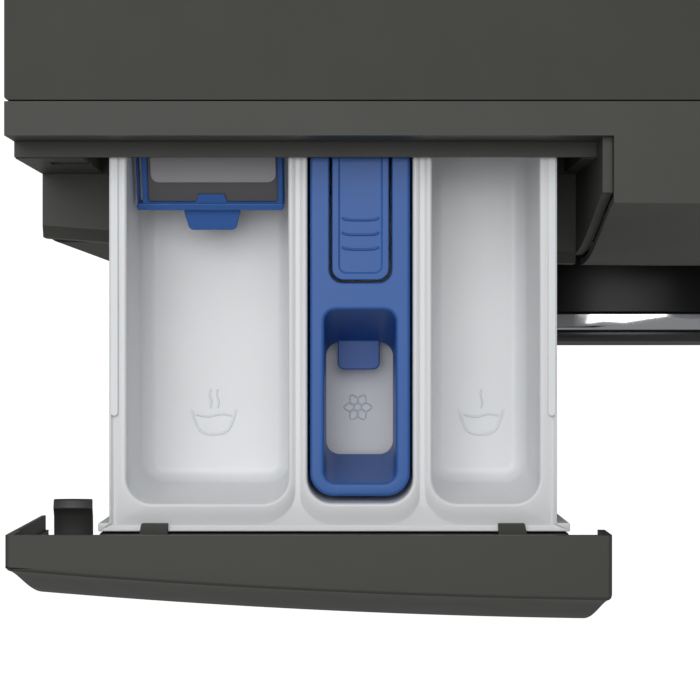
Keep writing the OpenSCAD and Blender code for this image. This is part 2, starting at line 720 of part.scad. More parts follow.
tub_r = drum_r + 12;
tub_t = 4;
drum_y = 75;
tub_y = drum_y - 17;
tub_split = 240;
drum_end = drum_y + drum_d;
tub_rear_y = drum_end + 20;
neck_r = throat_r - 4;
gasket_end = tub_y - 2;
fill_x = -60;
fill_z = axis_z + sqrt(pow(tub_r, 2) - pow(fill_x, 2)) - 6;
module fill_hose() {
    z1 = house_z[0] - 14;
    z0 = axis_z + sqrt(pow(tub_r, 2) - pow(spout_x, 2)) + 22;
    color(rubber) placed() translate([spout_x, spout_y, 0]) difference() {
        union() {
            translate([0, 0, z0]) cylinder(r = 15, h = z1 - z0);
            for (i = [0:4]) translate([0, 0, z0 + 6 + i * (z1 - z0 - 12) / 5]) cylinder(r = 18, h = 4);
        }
        translate([0, 0, z0 - eps]) cylinder(r = 12, h = z1 - z0 + 2 * eps);
    }
}
module tub_front() {
    color([0.62, 0.63, 0.64]) placed() difference() {
        turned_y([[neck_r, gasket_end - 18], [neck_r + 3, gasket_end - 18], [neck_r + 3, tub_y],
                  [tub_r + tub_t, tub_y], [tub_r + tub_t, tub_split - 6], [tub_r + 12, tub_split - 6],
                  [tub_r + 12, tub_split], [tub_r, tub_split], [tub_r, tub_y + tub_t],
                  [neck_r, tub_y + tub_t]]);
        span([-38, tub_y - eps, heater_z - 6], [38, tub_y + tub_t + eps, heater_z + 6]);
        translate([sump_x, sump_y, axis_z - tub_r - 20]) cylinder(r = 14, h = 40);
    }
}
bearing_r = 31;
bearing_w = 16;
bearing_y = [tub_rear_y + 8, tub_rear_y + 46];
hub_end = bearing_y[1] + bearing_w + 2;
module tub_rear() {
    color([0.62, 0.63, 0.64]) placed() difference() {
        union() {
            turned_y([[tub_r, tub_split], [tub_r + 12, tub_split], [tub_r + 12, tub_split + 6],
                      [tub_r + tub_t, tub_split + 6], [tub_r + tub_t, tub_rear_y + 6],
                      [bearing_r + 14, tub_rear_y + 6], [bearing_r + 8, hub_end], [shaft_r + 4, hub_end],
                      [shaft_r + 4, tub_rear_y], [tub_r, tub_rear_y]]);
            for (i = [0:11]) translate([0, 0, axis_z]) rotate([0, 30 * i, 0])
                span([bearing_r + 8, tub_rear_y + 5, -2.5], [tub_r - 4, tub_rear_y + 22, 2.5]);
            // lugs for the springs, the dampers and the fill hose
            for (s = [-1, 1]) {
                span([min(s * spring_x, s * spring_lug_x) - (s > 0 ? 0 : 8), spring_y - 6, spring_foot_z - 10],
                     [max(s * spring_x, s * spring_lug_x) + (s > 0 ? 8 : 0), spring_y + 6, spring_foot_z]);
                span([s * damper_top[0] - 9, damper_y - 16, damper_top[1] - 8],
                     [s * damper_top[0] + 9, damper_y + 16, damper_top[1] + 30]);
            }
            translate([spout_x, spout_y, axis_z + 150]) cylinder(r = 12, h = fill_top - axis_z - 150);
        }
        rod_y(0, axis_z, bearing_r, bearing_y[0], bearing_y[0] + bearing_w);
        rod_y(0, axis_z, bearing_r, bearing_y[1], hub_end + eps);
        rod_y(0, axis_z, tub_r, tub_split + 1, tub_rear_y);
        for (s = [-1, 1]) rod_y(s * damper_top[0], damper_top[1], 5.05, damper_y - 20, damper_y + 20);
        for (s = [-1, 1]) span([s * damper_top[0] - 12, damper_y - 10, damper_top[1] - 12],
                               [s * damper_top[0] + 12, damper_y + 10, damper_top[1] + 10]);
    }
}
fill_top = axis_z + sqrt(pow(tub_r, 2) - pow(spout_x, 2)) + 40;
spring_foot_z = axis_z + tub_r - 57;
spring_lug_x = sqrt(pow(tub_r, 2) - pow(tub_r - 57, 2)) - 9.6;
damper_y = 290;
damper_turn = 36.4;
damper_reach = tub_r + 17.6;
damper_top = [damper_reach * sin(damper_turn), axis_z - damper_reach * cos(damper_turn)];
damper_foot = [half_w - 74, foot_h + 27];
module drum_bearings() {
    color(steel) placed() for (y = bearing_y)
        tube_y(0, axis_z, bearing_r - 0.02, shaft_r + run, y, y + bearing_w - 0.1);
}
module suspension_springs() {
    color(steel) placed() for (s = [-1, 1]) translate([s * spring_x, spring_y, 0]) difference() {
        translate([0, 0, spring_foot_z]) cylinder(r = 13, h = spring_shelf_z - spring_foot_z);
        translate([0, 0, spring_foot_z + 8]) cylinder(r = 9, h = spring_shelf_z - spring_foot_z - 16);
    }
}
module dampers() {
    dx = damper_foot[0] - damper_top[0];
    dz = damper_foot[1] - damper_top[1];
    len = sqrt(dx * dx + dz * dz);
    color(black) placed() for (s = [-1, 1]) {
        translate([s * damper_top[0], damper_y, damper_top[1]]) rotate([0, s * atan2(dx, dz), 0]) {
            translate([0, 0, 6]) cylinder(r = 5, h = 70);
            translate([0, 0, 66]) cylinder(r = 14, h = len - 66 - 8);
            rotate([90, 0, 0]) cylinder(r = 8, h = 19, center = true);
            rotate([90, 0, 0]) cylinder(r = 5, h = 30, center = true);
        }
        rod_y(s * damper_foot[0], damper_foot[1], 9, damper_y - 10, damper_y + 10);
        span([s * damper_foot[0] - 9, damper_y - 10, foot_h + pan_t],
             [s * damper_foot[0] + 9, damper_y + 10, damper_foot[1]]);
    }
}
weight_y = [gasket_end - 32, tub_y - 0.5];
module front_counterweight() {
    r0 = neck_r + 12;
    r1 = tub_r - 4;
    color(concrete) placed() intersection() {
        tube_y(0, axis_z, r1, r0, weight_y[0], weight_y[1]);
        union() {
            span([-r1, weight_y[0], axis_z + 70], [r1, weight_y[1], axis_z + r1]);
            span([-r1, weight_y[0], axis_z - r1], [-60, weight_y[1], axis_z - 70]);
            span([60, weight_y[0], axis_z - r1], [r1, weight_y[1], axis_z - 70]);
        }
    }
}
module top_counterweight() {
    color(concrete) placed() difference() {
        span([-40, 120, axis_z + 200], [195, 230, console_z]);
        rod_y(0, axis_z, tub_r + tub_t + 0.5, 100, 250);
    }
}
heater_z = axis_z - drum_r - 5.2;
heater_r = 2.75;
module heater() {
    color(steel) placed() {
        span([-40, tub_y - 6, heater_z - 11], [40, tub_y, heater_z + 11]);
        for (x = [-30, 30]) rod_y(x, heater_z, heater_r, tub_y - 16, 300);
        translate([0, 300, heater_z]) rotate_extrude(angle = 180) translate([30, 0]) circle(heater_r);
        rod_y(0, heater_z, 3, tub_y - 14, tub_y);
    }
}
motor_x = 72;
motor_z = axis_z - tub_r - 62;
motor_y = [300, 468];
motor_r = 50;
belt_y = [hub_end + 6, hub_end + 15];
motor_shaft_r = 6;
module motor() {
    color(zinc) placed() {
        difference() {
            rod_y(motor_x, motor_z, motor_r, motor_y[0], motor_y[1]);
            for (i = [0:11]) translate([motor_x, 0, motor_z]) rotate([0, 30 * i, 0])
                span([motor_r - 8, motor_y[0] + 20, -4], [motor_r + eps, motor_y[1] - 20, 4]);
            rod_y(motor_x, motor_z, motor_shaft_r + run, motor_y[1] - 40, motor_y[1] + eps);
        }
    }
}
module motor_pulley() {
    color(steel) placed() difference() {
        union() {
            rod_y(motor_x, motor_z, motor_shaft_r, motor_y[1] - 38, belt_y[1] + 2);
            rod_y(motor_x, motor_z, motor_pulley_r, belt_y[0] - 1, belt_y[1] + 1);
            rod_y(motor_x, motor_z, motor_pulley_r + 2, belt_y[0] - 3, belt_y[0] - 1);
            rod_y(motor_x, motor_z, motor_pulley_r + 2, belt_y[1] + 1, belt_y[1] + 3);
        }
    }
}
// A belt's outline round two wheels: an arc on each, joined by the straight runs
function arc(cx, cz, r, a0, a1, n) =
    [for (i = [0:n]) let (a = a0 + (a1 - a0) * i / n) [cx + r * cos(a), cz + r * sin(a)]];
module belt_outline(r_big, r_small, dx, dz) {
    lean = acos((r_big - r_small) / sqrt(dx * dx + dz * dz));
    turn = atan2(dz, dx);
    polygon(concat(arc(0, 0, r_big, turn + lean, turn + 360 - lean, 72),
                   arc(dx, dz, r_small, turn - lean, turn + lean, 16)));
}
belt_t = 3.5;
module drive_belt() {
    color(black) placed() translate([0, belt_y[1] - 0.5, axis_z]) rotate([90, 0, 0])
        linear_extrude(belt_y[1] - belt_y[0] - 1) difference() {
            belt_outline(pulley_r + free + belt_t, motor_pulley_r + free + belt_t,
                         motor_x, motor_z - axis_z);
            belt_outline(pulley_r + free, motor_pulley_r + free, motor_x, motor_z - axis_z);
        }
}
sump_x = -70;
sump_y = 150;
pump_x = 220;
pump_z = foot_h + 78;
pump_y = 75;
sump_z = axis_z - tub_r - 16;
module sump_hose() {
    color(rubber) placed() difference() {
        union() {
            translate([sump_x, sump_y, sump_z - 60]) cylinder(r = 17, h = 56);
            translate([sump_x, sump_y, sump_z - 60]) sphere(r = 17);
            rod_x(sump_y, sump_z - 60, 17, sump_x, pump_x - 47);
        }
        translate([sump_x, sump_y, sump_z - 60]) cylinder(r = 14, h = 80);
        rod_x(sump_y, sump_z - 60, 14, sump_x, pump_x - 40);
    }
}
filter_r = 27;
module drain_pump() {
    color([0.75, 0.75, 0.76]) placed() difference() {
        union() {
            rod_y(pump_x, pump_z, filter_r + 5, panel_y + 6, pump_y + 20);
            rod_y(pump_x, pump_z, 42, pump_y + 20, pump_y + 100);
            span([pump_x - 47, sump_y - 20, sump_z - 80], [pump_x - 30, sump_y + 20, sump_z - 40]);
            span([pump_x - 34, pump_y - 10, foot_h + pan_t], [pump_x + 34, pump_y + 90, pump_z - 20]);
            rod_x(pump_y + 60, drain_z, 11, pump_x, drain_x + 9);
        }
        rod_y(pump_x, pump_z, filter_r + free, panel_y + 5, pump_y + 10);
        rod_x(sump_y, sump_z - 60, 14, pump_x - 48, pump_x - 34);
    }
}
module pump_filter() {
    color(white) placed() difference() {
        union() {
            rod_y(pump_x, pump_z, filter_r, panel_y + 7, pump_y + 5);
            rod_y(pump_x, pump_z, filter_r + 4, panel_y + 4, panel_y + 5.7);
            span([pump_x - 22, panel_y + 2.5, pump_z - 4], [pump_x + 22, panel_y + 8, pump_z + 4]);
            rod_y(pump_x, pump_z, 12, panel_y + 3, panel_y + 8);
        }
        for (y = [24, 40, 56]) rod_x(y, pump_z, 6, pump_x - 40, pump_x + 40);
        rod_y(pump_x, pump_z, filter_r - 4, 15, pump_y + 6);
    }
}
module drain_outlet() {
    r = 11;
    color([0.55, 0.56, 0.57]) placed() difference() {
        union() {
            rod_y(drain_x, drain_z, r, pump_y + 71, rear_y + rear_reach);
            for (i = [0:18]) rod_y(drain_x, drain_z, r + 2, pump_y + 80 + 20 * i, pump_y + 90 + 20 * i);
            rod_y(drain_x, drain_z, 18, rear_y, rear_y + 3);
        }
        rod_y(drain_x, drain_z, r - 2.5, pump_y + 70, rear_y + rear_reach + eps);
    }
}
module cord_gland() {
    color(black) placed() difference() {
        union() {
            rod_y(cord_x, cord_z, 10, rear_inner_y - 6, rear_y + 1);
            rod_y(cord_x, cord_z, 13, rear_y, rear_y + 5);
            rod_y(cord_x, cord_z, 12, rear_inner_y - 6, rear_inner_y);
        }
        rod_y(cord_x, cord_z, 4, rear_inner_y - 10, rear_y + 10);
    }
}

// ---- Drum ----

drum_t = 1.2;
drum_mouth_r = throat_r - 6;
module drum_shell() {
    color(steel) placed() turned_y([
        [drum_mouth_r, drum_y], [drum_mouth_r, drum_y + 4], [drum_mouth_r + drum_t, drum_y + 4],
        [drum_mouth_r + drum_t, drum_y + drum_t], [drum_r - drum_t, drum_y + drum_t],
        [drum_r - drum_t, drum_end], [drum_r, drum_end], [drum_r, drum_y]]);
}
shaft_end = belt_y[1] + 12;
module drum_back() {
    color(zinc) placed() {
        turned_y([[0, drum_end - 8], [90, drum_end - 4], [drum_r - drum_t - 0.05, drum_end - 2],
                  [drum_r - drum_t - 0.05, drum_end - 0.8], [90, drum_end], [45, drum_end + 16],
                  [shaft_r, drum_end + 16], [shaft_r, belt_y[0] - 3], [shaft_r - 3, belt_y[0] - 3],
                  [shaft_r - 3, shaft_end], [0, shaft_end]]);
        for (i = [0:2]) translate([0, 0, axis_z]) rotate([0, 120 * i + 30, 0])
            span([40, drum_end - 1, -13], [drum_r - 12, drum_end + 14, 13]);
    }
}
module drum_lifters() {
    color(white) placed() for (i = [0:2]) translate([0, 0, axis_z]) rotate([0, 120 * i + 90, 0])
        translate([0, drum_y + 22, 0]) rotate([-90, 0, 0]) linear_extrude(drum_d - 50)
        intersection() {
            polygon([[drum_r - 60, -9], [drum_r - 60, 9], [drum_r, 32], [drum_r, -32]]);
            circle(drum_r - drum_t - 0.1, $fn = 180);
        }
}
module drum_pulley() {
    color([0.7, 0.71, 0.72]) placed() difference() {
        union() {
            tube_y(0, axis_z, pulley_r, pulley_r - 8, belt_y[0] - 1, belt_y[1] + 1);
            tube_y(0, axis_z, pulley_r + 2.5, pulley_r - 8, belt_y[0] - 3, belt_y[0] - 1);
            tube_y(0, axis_z, pulley_r + 2.5, pulley_r - 8, belt_y[1] + 1, belt_y[1] + 3);
            rod_y(0, axis_z, 34, belt_y[0] - 2, belt_y[1] + 4);
            for (i = [0:5]) translate([0, 0, axis_z]) rotate([0, 60 * i, 0])
                span([30, belt_y[0] + 1, -8], [pulley_r - 4, belt_y[1] - 1, 8]);
        }
        rod_y(0, axis_z, shaft_r - 3 + run, belt_y[0] - 5, belt_y[1] + 5);
    }
}

// ---- Door, drawn closed ----

ring_y = [panel_y - 31.5, panel_y - 2];
ring_in = door_r - 76.5;
hinge_x = -door_r - 11;
hinge_y = panel_y - 12.5;
pin_r = 3;
knuckle_r = 6;
knuckle_z = 12;
grip_w = 90;
module door_ring() {
    color(black) placed() difference() {
        union() {
            turned_y([[door_r, ring_y[1]], [door_r, ring_y[0]], [ring_in, ring_y[0]],
                      [ring_in, ring_y[1] - 5], [ring_in + 3, ring_y[1] - 5], [ring_in + 3, ring_y[0] + 3],
                      [door_r - 3, ring_y[0] + 3], [door_r - 3, ring_y[1]]]);
            // walls of the grip recess
            intersection() {
                span([door_r - 40, ring_y[0] + 1, axis_z - grip_w / 2 - 3],
                     [door_r, ring_y[1] - 3.5, axis_z + grip_w / 2 + 3]);
                rod_y(0, axis_z, door_r - 1, ring_y[0], ring_y[1]);
            }
            // hinge knuckle
            intersection() {
                for (z = [axis_z - 30, axis_z + 30]) {
                    translate([hinge_x, hinge_y, z - knuckle_z]) cylinder(r = knuckle_r, h = 2 * knuckle_z);
                    span([hinge_x, hinge_y - 4, z - knuckle_z], [-door_r + 12, hinge_y + 4, z + knuckle_z]);
                }
                difference() {
                    span([hinge_x - 10, -100, 0], [0, 100, body_h]);
                    rod_y(0, axis_z, door_r - 2, ring_y[0] - 5, ring_y[1] + 5);
                }
            }
        }
        span([door_r - 34, ring_y[0] + 6, axis_z - grip_w / 2], [door_r + eps, ring_y[1] - 7, axis_z + grip_w / 2]);
        translate([hinge_x, hinge_y, 0]) cylinder(r = pin_r + run, h = body_h);
    }
}
module door_frame() {
    y = ring_y[1];
    color([0.55, 0.56, 0.57]) placed() difference() {
        turned_y([[ring_in - 6.5, y - 0.4], [ring_in - 6.5, y + 19.5], [ring_in + 6.5, y + 19.5],
                  [dish_r - 12, y + 4.5], [dish_r - 12, y - 0.5], [door_r - 3.5, y - 0.5],
                  [door_r - 3.5, y - 3.5], [ring_in + 3.5, y - 3.5], [ring_in + 3.5, y - 0.4]]);
        span([hook_x - 14, y - 2, axis_z - 8], [hook_x + 9, y + 30, axis_z + 8]);
    }
    color(steel) placed() translate([hook_x - 3, y + 3, axis_z - 9.9]) cylinder(r = 2, h = 19.8);
}
module door_hook() {
    y = ring_y[1];
    px = hook_x - 3;
    py = y + 3;
    color(steel) placed() translate([0, 0, axis_z - 3]) linear_extrude(6) difference() {
        union() {
            translate([px, py]) circle(5);
            polygon([[px - 4, py], [px + 4, py], [px + 5, py + 30], [px + 11, py + 31],
                     [px + 11, py + 34], [px + 4, py + 41], [px - 4, py + 41]]);
        }
        translate([px, py]) circle(2 + run);
    }
}
bowl_y = ring_y[1] - 4.5;
bowl_depth = 71;
bowl_t = 5;
bowl_r = ring_in - 8.5;
bowl_end_r = bowl_r - 22;
module door_bowl() {
    y1 = bowl_y + bowl_depth;
    color([0.7, 0.75, 0.78, 0.4]) placed() turned_y([
        [ring_in - 0.5, bowl_y], [ring_in - 0.5, bowl_y + 4], [bowl_r, bowl_y + 4], [bowl_end_r, y1 - 12],
        [bowl_end_r - 6, y1 - 4], [bowl_end_r - 16, y1], [0, y1 + 3], [0, y1 - bowl_t + 3],
        [bowl_end_r - 18, y1 - bowl_t], [bowl_end_r - 9, y1 - 9], [bowl_end_r - bowl_t, y1 - 16],
        [bowl_r - bowl_t, bowl_y]]);
}
trim_y = [ring_y[0] - 9.2, ring_y[0] - 0.1];
module door_trim() {
    color(chrome) placed() turned_y([
        [door_r - 13, trim_y[1]], [door_r - 13, trim_y[0]], [door_r - 2.5, trim_y[0]],
        [door_r - 0.8, trim_y[0] + 1.2], [door_r, trim_y[0] + 3], [door_r, trim_y[1]]]);
}
module door_bezel() {
    y0 = trim_y[0] - 6.1;
    color(graphite_dark) placed() turned_y([
        [door_r - 13.3, trim_y[1]], [door_r - 13.3, trim_y[0] - 0.1], [door_r - 2, trim_y[0] - 0.1],
        [door_r - 2.6, y0 + 2.5], [door_r - 4.5, y0 + 0.8], [door_r - 8, y0], [door_r - 30, y0],
        [ring_in - 4.5, trim_y[1] - 3], [ring_in - 4.5, trim_y[1]]]);
}
module door_hinge() {
    color(steel) placed() {
        span([hinge_x - 14, panel_y - 3, axis_z - 55], [hinge_x + 5, panel_y, axis_z + 55]);
        for (z = [axis_z - 55, axis_z - 17.6, axis_z + 42.4]) {
            h = z < axis_z - 30 ? 12.6 : (z < axis_z ? 35.2 : 12.6);
            translate([hinge_x, hinge_y, z]) cylinder(r = knuckle_r, h = h);
            span([hinge_x - 4, hinge_y, z], [hinge_x + 4, panel_y - 2, z + h]);
        }
        translate([hinge_x, hinge_y, axis_z - 54]) cylinder(r = pin_r, h = 108);
    }
}
module door_lock() {
    color([0.85, 0.85, 0.84]) placed() difference() {
        span([hook_x - 11, throat_y + steel_t + 2, axis_z - 32], [hook_x + 24, throat_y + 34, axis_z + 32]);
        span([hook_x - 8.5, throat_y - 5, axis_z - 6], [hook_x + 17, throat_y + 31, axis_z + 6]);
    }
}
module door_gasket() {
    y = throat_y + steel_t + 0.1;
    seal_y = y + 7;
    seal_r = bowl_r - 22 * (seal_y - bowl_y - 4) / (bowl_depth - 16) + 0.8;
    color(rubber) placed() turned_y([
        [throat_r - 5, y], [throat_r + 1, y], [throat_r + 1, y + 2], [throat_r - 14, y + 9],
        [throat_r - 14, y + 17], [neck_r, y + 23], [neck_r, gasket_end], [neck_r - 4, gasket_end],
        [neck_r - 4, y + 25], [throat_r - 18, y + 19], [throat_r - 18, y + 9.5], [seal_r, seal_y + 1.5],
        [seal_r, seal_y - 0.5], [throat_r - 18, y + 5]]);
}

top_panel();
left_side_panel();
right_side_panel();
rear_panel();
rear_service_cover();
base_pan();
front_panel();
front_crossbar();
console();
display_window();
dispenser_housing();
inlet_valve();
valve_hoses();
fill_hose();
control_board();
door_hinge();
door_lock();
door_gasket();
tub_front();
tub_rear();
front_counterweight();
top_counterweight();
suspension_springs();
dampers();
drum_bearings();
heater();
motor();
drive_belt();
drain_pump();
sump_hose();
drain_outlet();
cord_gland();
feet();
foot_nuts();
rear_screws();
drawer_tray();
drawer_front();
drawer_latch();
softener_insert();
release_tongue();
detergent_flap();
flap_window();
door_frame();
door_bowl();
door_ring();
door_trim();
door_bezel();
door_hook();
drum_shell();
drum_back();
drum_lifters();
drum_pulley();
motor_pulley();
program_knob();
power_button();
start_button();
temperature_button();
spin_button();
filter_hatch();
pump_filter();
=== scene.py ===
"""Looks of a front loading washing machine whose detergent drawer is pulled out."""

import json
import math

import bmesh
import bpy
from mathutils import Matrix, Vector


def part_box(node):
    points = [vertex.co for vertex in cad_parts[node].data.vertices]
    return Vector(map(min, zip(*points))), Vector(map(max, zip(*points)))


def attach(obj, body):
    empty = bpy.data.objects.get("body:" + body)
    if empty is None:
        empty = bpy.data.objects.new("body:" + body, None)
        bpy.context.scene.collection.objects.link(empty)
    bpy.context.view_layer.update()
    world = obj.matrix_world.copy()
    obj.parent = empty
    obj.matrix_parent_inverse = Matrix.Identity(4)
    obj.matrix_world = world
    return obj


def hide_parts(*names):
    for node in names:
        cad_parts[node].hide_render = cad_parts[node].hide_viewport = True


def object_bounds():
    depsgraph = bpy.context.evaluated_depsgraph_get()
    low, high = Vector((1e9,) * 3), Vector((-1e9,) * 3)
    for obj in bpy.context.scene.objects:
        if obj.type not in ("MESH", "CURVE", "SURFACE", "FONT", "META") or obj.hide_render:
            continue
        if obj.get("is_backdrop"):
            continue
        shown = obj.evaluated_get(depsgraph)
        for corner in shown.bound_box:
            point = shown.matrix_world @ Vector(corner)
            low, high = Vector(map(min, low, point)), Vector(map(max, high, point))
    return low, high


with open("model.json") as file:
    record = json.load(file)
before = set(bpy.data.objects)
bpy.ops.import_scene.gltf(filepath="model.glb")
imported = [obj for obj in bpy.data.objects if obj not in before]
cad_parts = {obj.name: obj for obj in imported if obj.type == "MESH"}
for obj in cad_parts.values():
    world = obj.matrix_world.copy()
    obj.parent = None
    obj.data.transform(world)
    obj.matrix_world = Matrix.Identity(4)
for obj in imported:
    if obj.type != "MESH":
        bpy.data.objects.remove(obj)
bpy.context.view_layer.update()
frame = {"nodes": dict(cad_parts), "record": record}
MM = 0.001


def edges(node):
    """Lowest and highest corner of a CAD node in millimetres: x0, y0, z0, x1, y1, z1."""
    low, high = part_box(node)
    return [value / MM for value in (*low, *high)]


# ---- Driving dimensions, in millimetres ----

CABINET_TOP = edges("top_panel")[5]
CREASE_Y = edges("top_panel")[1] - 42.4
DRAWER_Y = edges("drawer_tray")[1] - 26.1
BOW_R = 3561.0
FACE_BULGE = 20.5
BULGE_DEPTH = 110.0


def bow(x):
    """Set-back of the bowed front at x."""
    return BOW_R - math.sqrt(BOW_R * BOW_R - x * x)


def face_out(depth):
    """How far the face stands in front of its crease at a depth below the top."""
    return FACE_BULGE * max(0.0, math.sin(math.radians(90 * depth / BULGE_DEPTH))) ** 1.35


# ---- Mesh tools ----

def rounded(corners, steps=6):
    """A closed outline whose (x, y, radius) corners are rounded off."""
    points = []
    count = len(corners)
    for i, (x, y, radius) in enumerate(corners):
        corner = Vector((x, y))
        before = (Vector(corners[i - 1][:2]) - corner).normalized()
        after = (Vector(corners[(i + 1) % count][:2]) - corner).normalized()
        half = before.angle(after) / 2
        centre = corner + (before + after).normalized() * (radius / math.sin(half))
        start = corner + before * (radius / math.tan(half)) - centre
        turn = start.angle_signed(corner + after * (radius / math.tan(half)) - centre)
        for k in range(steps + 1):
            angle = -turn * k / steps
            c, s = math.cos(angle), math.sin(angle)
            points.append(centre + Vector((c * start.x - s * start.y, s * start.x + c * start.y)))
    return points


def rectangle(x0, y0, x1, y1, radius, steps=6):
    """A rectangle with round corners, counter-clockwise."""
    return rounded([(x0, y0, radius), (x1, y0, radius), (x1, y1, radius), (x0, y1, radius)], steps)


def grown(outline, by):
    """An outline moved outwards by a distance, or inwards if it is negative."""
    moved = []
    for i, point in enumerate(outline):
        ahead = outline[(i + 1) % len(outline)] - outline[i - 1]
        normal = Vector((ahead.y, -ahead.x)).normalized()
        moved.append(point + normal * by)
    return moved


def mixed(first, second, share):
    """The outline a share of the way from the first to the second."""
    return [a.lerp(b, share) for a, b in zip(first, second)]


def smooth_line(points, steps=6):
    """A smooth curve through points."""
    ends = [points[0]] + list(points) + [points[-1]]
    line = []
    for i in range(1, len(ends) - 2):
        a, b, c, d = (Vector(p) for p in ends[i - 1:i + 3])
        for k in range(steps):
            t = k / steps
            line.append(0.5 * ((2 * b) + (c - a) * t + (2 * a - 5 * b + 4 * c - d) * t * t
                               + (3 * b - a - 3 * c + d) * t ** 3))
    line.append(Vector(points[-1]))
    return line


class Shell:
    """Rings of points joined into one mesh."""

    def __init__(self):
        self.mesh = bmesh.new()

    def ring(self, points):
        return [self.mesh.verts.new(point) for point in points]

    def level(self, outline, z):
        return self.ring([(p.x, p.y, z) for p in outline])

    def join(self, rings, closed=True):
        for a, b in zip(rings, rings[1:]):
            count = len(a)
            for i in range(count if closed else count - 1):
                j = (i + 1) % count
                self.mesh.faces.new((a[i], a[j], b[j], b[i]))
        return rings

    def cap(self, ring):
        self.mesh.faces.new(ring)

    def fill(self, *rings):
        """A flat face between an outer ring and the rings of its holes."""
        sides = []
        for ring in rings:
            for i, vertex in enumerate(ring):
                mate = ring[(i + 1) % len(ring)]
                sides.append(self.mesh.edges.get((vertex, mate)) or self.mesh.edges.new((vertex, mate)))
        bmesh.ops.triangle_fill(self.mesh, edges=sides, use_beauty=True)

    def well(self, top, base, z1, z0, lip=1.2, foot=4.0, steps=4):
        """A hollow with a rounded rim, drafted walls and a filleted floor. Returns its rim."""
        rings = []
        for k in range(steps + 1):
            a = math.pi / 2 * k / steps
            rings.append(self.level(grown(top, lip - lip * math.sin(a)), z1 - lip + lip * math.cos(a)))
        for k in range(steps + 1):
            a = math.pi / 2 * k / steps
            rings.append(self.level(grown(base, foot * math.cos(a) - foot), z0 + foot - foot * math.sin(a)))
        self.join(rings)
        return rings[0], rings[-1]

    def wall(self, outline, z1, z0, lip=0.8, foot=0.8, steps=3):
        """The outside of a block with rounded upper and lower edges. Returns its two end rings."""
        rings = []
        for k in range(steps + 1):
            a = math.pi / 2 * k / steps
            rings.append(self.level(grown(outline, lip * math.sin(a) - lip), z1 - lip + lip * math.cos(a)))
        for k in range(steps + 1):
            a = math.pi / 2 * k / steps
            rings.append(self.level(grown(outline, foot * math.cos(a) - foot), z0 + foot - foot * math.sin(a)))
        self.join(rings)
        return rings[0], rings[-1]

    def block(self, outline, z1, z0, lip=0.8, foot=0.8):
        top, base = self.wall(outline, z1, z0, lip, foot)
        self.cap(top)
        self.cap(base)

    def tube(self, path, radius, sides=10, closed=False):
        """A round bar along a path of points; radius may be a function of the share of the way."""
        rings = []
        up = Vector((0, 0, 1))
        count = len(path)
        for i, point in enumerate(path):
            if closed:
                along = Vector(path[(i + 1) % count]) - Vector(path[i - 1])
            else:
                along = Vector(path[min(i + 1, count - 1)]) - Vector(path[max(i - 1, 0)])
            along.normalize()
            side = along.cross(up)
            if side.length < 1e-3:
                side = along.cross(Vector((1, 0, 0)))
            side.normalize()
            top = side.cross(along)
            r = radius(i / (count - 1)) if callable(radius) else radius
            rings.append(self.ring([Vector(point) + side * (r * math.cos(2 * math.pi * k / sides))
                                    + top * (r * math.sin(2 * math.pi * k / sides)) for k in range(sides)]))
        if closed:
            rings.append(rings[0])
        self.join(rings)
        if not closed:
            self.cap(rings[0])
            self.cap(rings[-1])

    def bead(self, path, z, width, height):
        """A raised rounded line on a level surface."""
        def size(share):
            end = min(share, 1 - share) * (len(path) - 1)
            return min(1.0, 0.35 + 0.65 * end)
        rings = []
        for i, point in enumerate(path):
            along = Vector(path[min(i + 1, len(path) - 1)][:2]) - Vector(path[max(i - 1, 0)][:2])
            side = Vector((-along.y, along.x)).normalized()
            s = size(i / (len(path) - 1))
            ring = []
            for k in range(7):
                a = math.pi * k / 6
                at = Vector(point[:2]) + side * (width / 2 * s * math.cos(a))
                ring.append((at.x, at.y, z - 0.2 + (height * s + 0.2) * math.sin(a) ** 0.8))
            rings.append(self.ring(ring))
        self.join(rings)
        self.cap(rings[0])
        self.cap(rings[-1])

    def turned(self, profile, place, sides=64, closed=False):
        """Revolves (radius, height) points; place turns an axis point and an outward pair into a position."""
        rings = [self.ring([place(r * math.cos(2 * math.pi * k / sides), r * math.sin(2 * math.pi * k / sides), h)
                            for k in range(sides)]) for r, h in profile]
        if closed:
            rings.append(rings[0])
        self.join(rings)
        if not closed:
            self.cap(rings[0])
            self.cap(rings[-1])


def smooth(obj, angle=35):
    """Shades an object smooth, apart from edges sharper than an angle."""
    obj.data.shade_smooth()
    obj.data.set_sharp_from_angle(angle=math.radians(angle))


def soft_edges(obj, width, segments=2, angle=35):
    """Rounds an object's sharp edges by a width in millimetres."""
    bevel = obj.modifiers.new("rounded_edges", "BEVEL")
    bevel.width = width * MM
    bevel.segments = segments
    bevel.limit_method = "ANGLE"
    bevel.angle_limit = math.radians(angle)
    bevel.use_clamp_overlap = True
    bevel.miter_outer = "MITER_ARC"


def even_shading(obj):
    """Keeps flat faces flat beside their rounded edges."""
    weighted = obj.modifiers.new("even_shading", "WEIGHTED_NORMAL")
    weighted.keep_sharp = True
    weighted.weight = 60


def solid(name, shell, y_shift=0.0):
    """An object made from a shell drawn in millimetres."""
    bmesh.ops.remove_doubles(shell.mesh, verts=shell.mesh.verts, dist=1e-4)
    bmesh.ops.recalc_face_normals(shell.mesh, faces=shell.mesh.faces)
    mesh = bpy.data.meshes.new(name)
    shell.mesh.to_mesh(mesh)
    shell.mesh.free()
    for vertex in mesh.vertices:
        vertex.co = Vector((vertex.co.x, vertex.co.y + y_shift, vertex.co.z)) * MM
    obj = bpy.data.objects.new(name, mesh)
    bpy.context.scene.collection.objects.link(obj)
    return obj


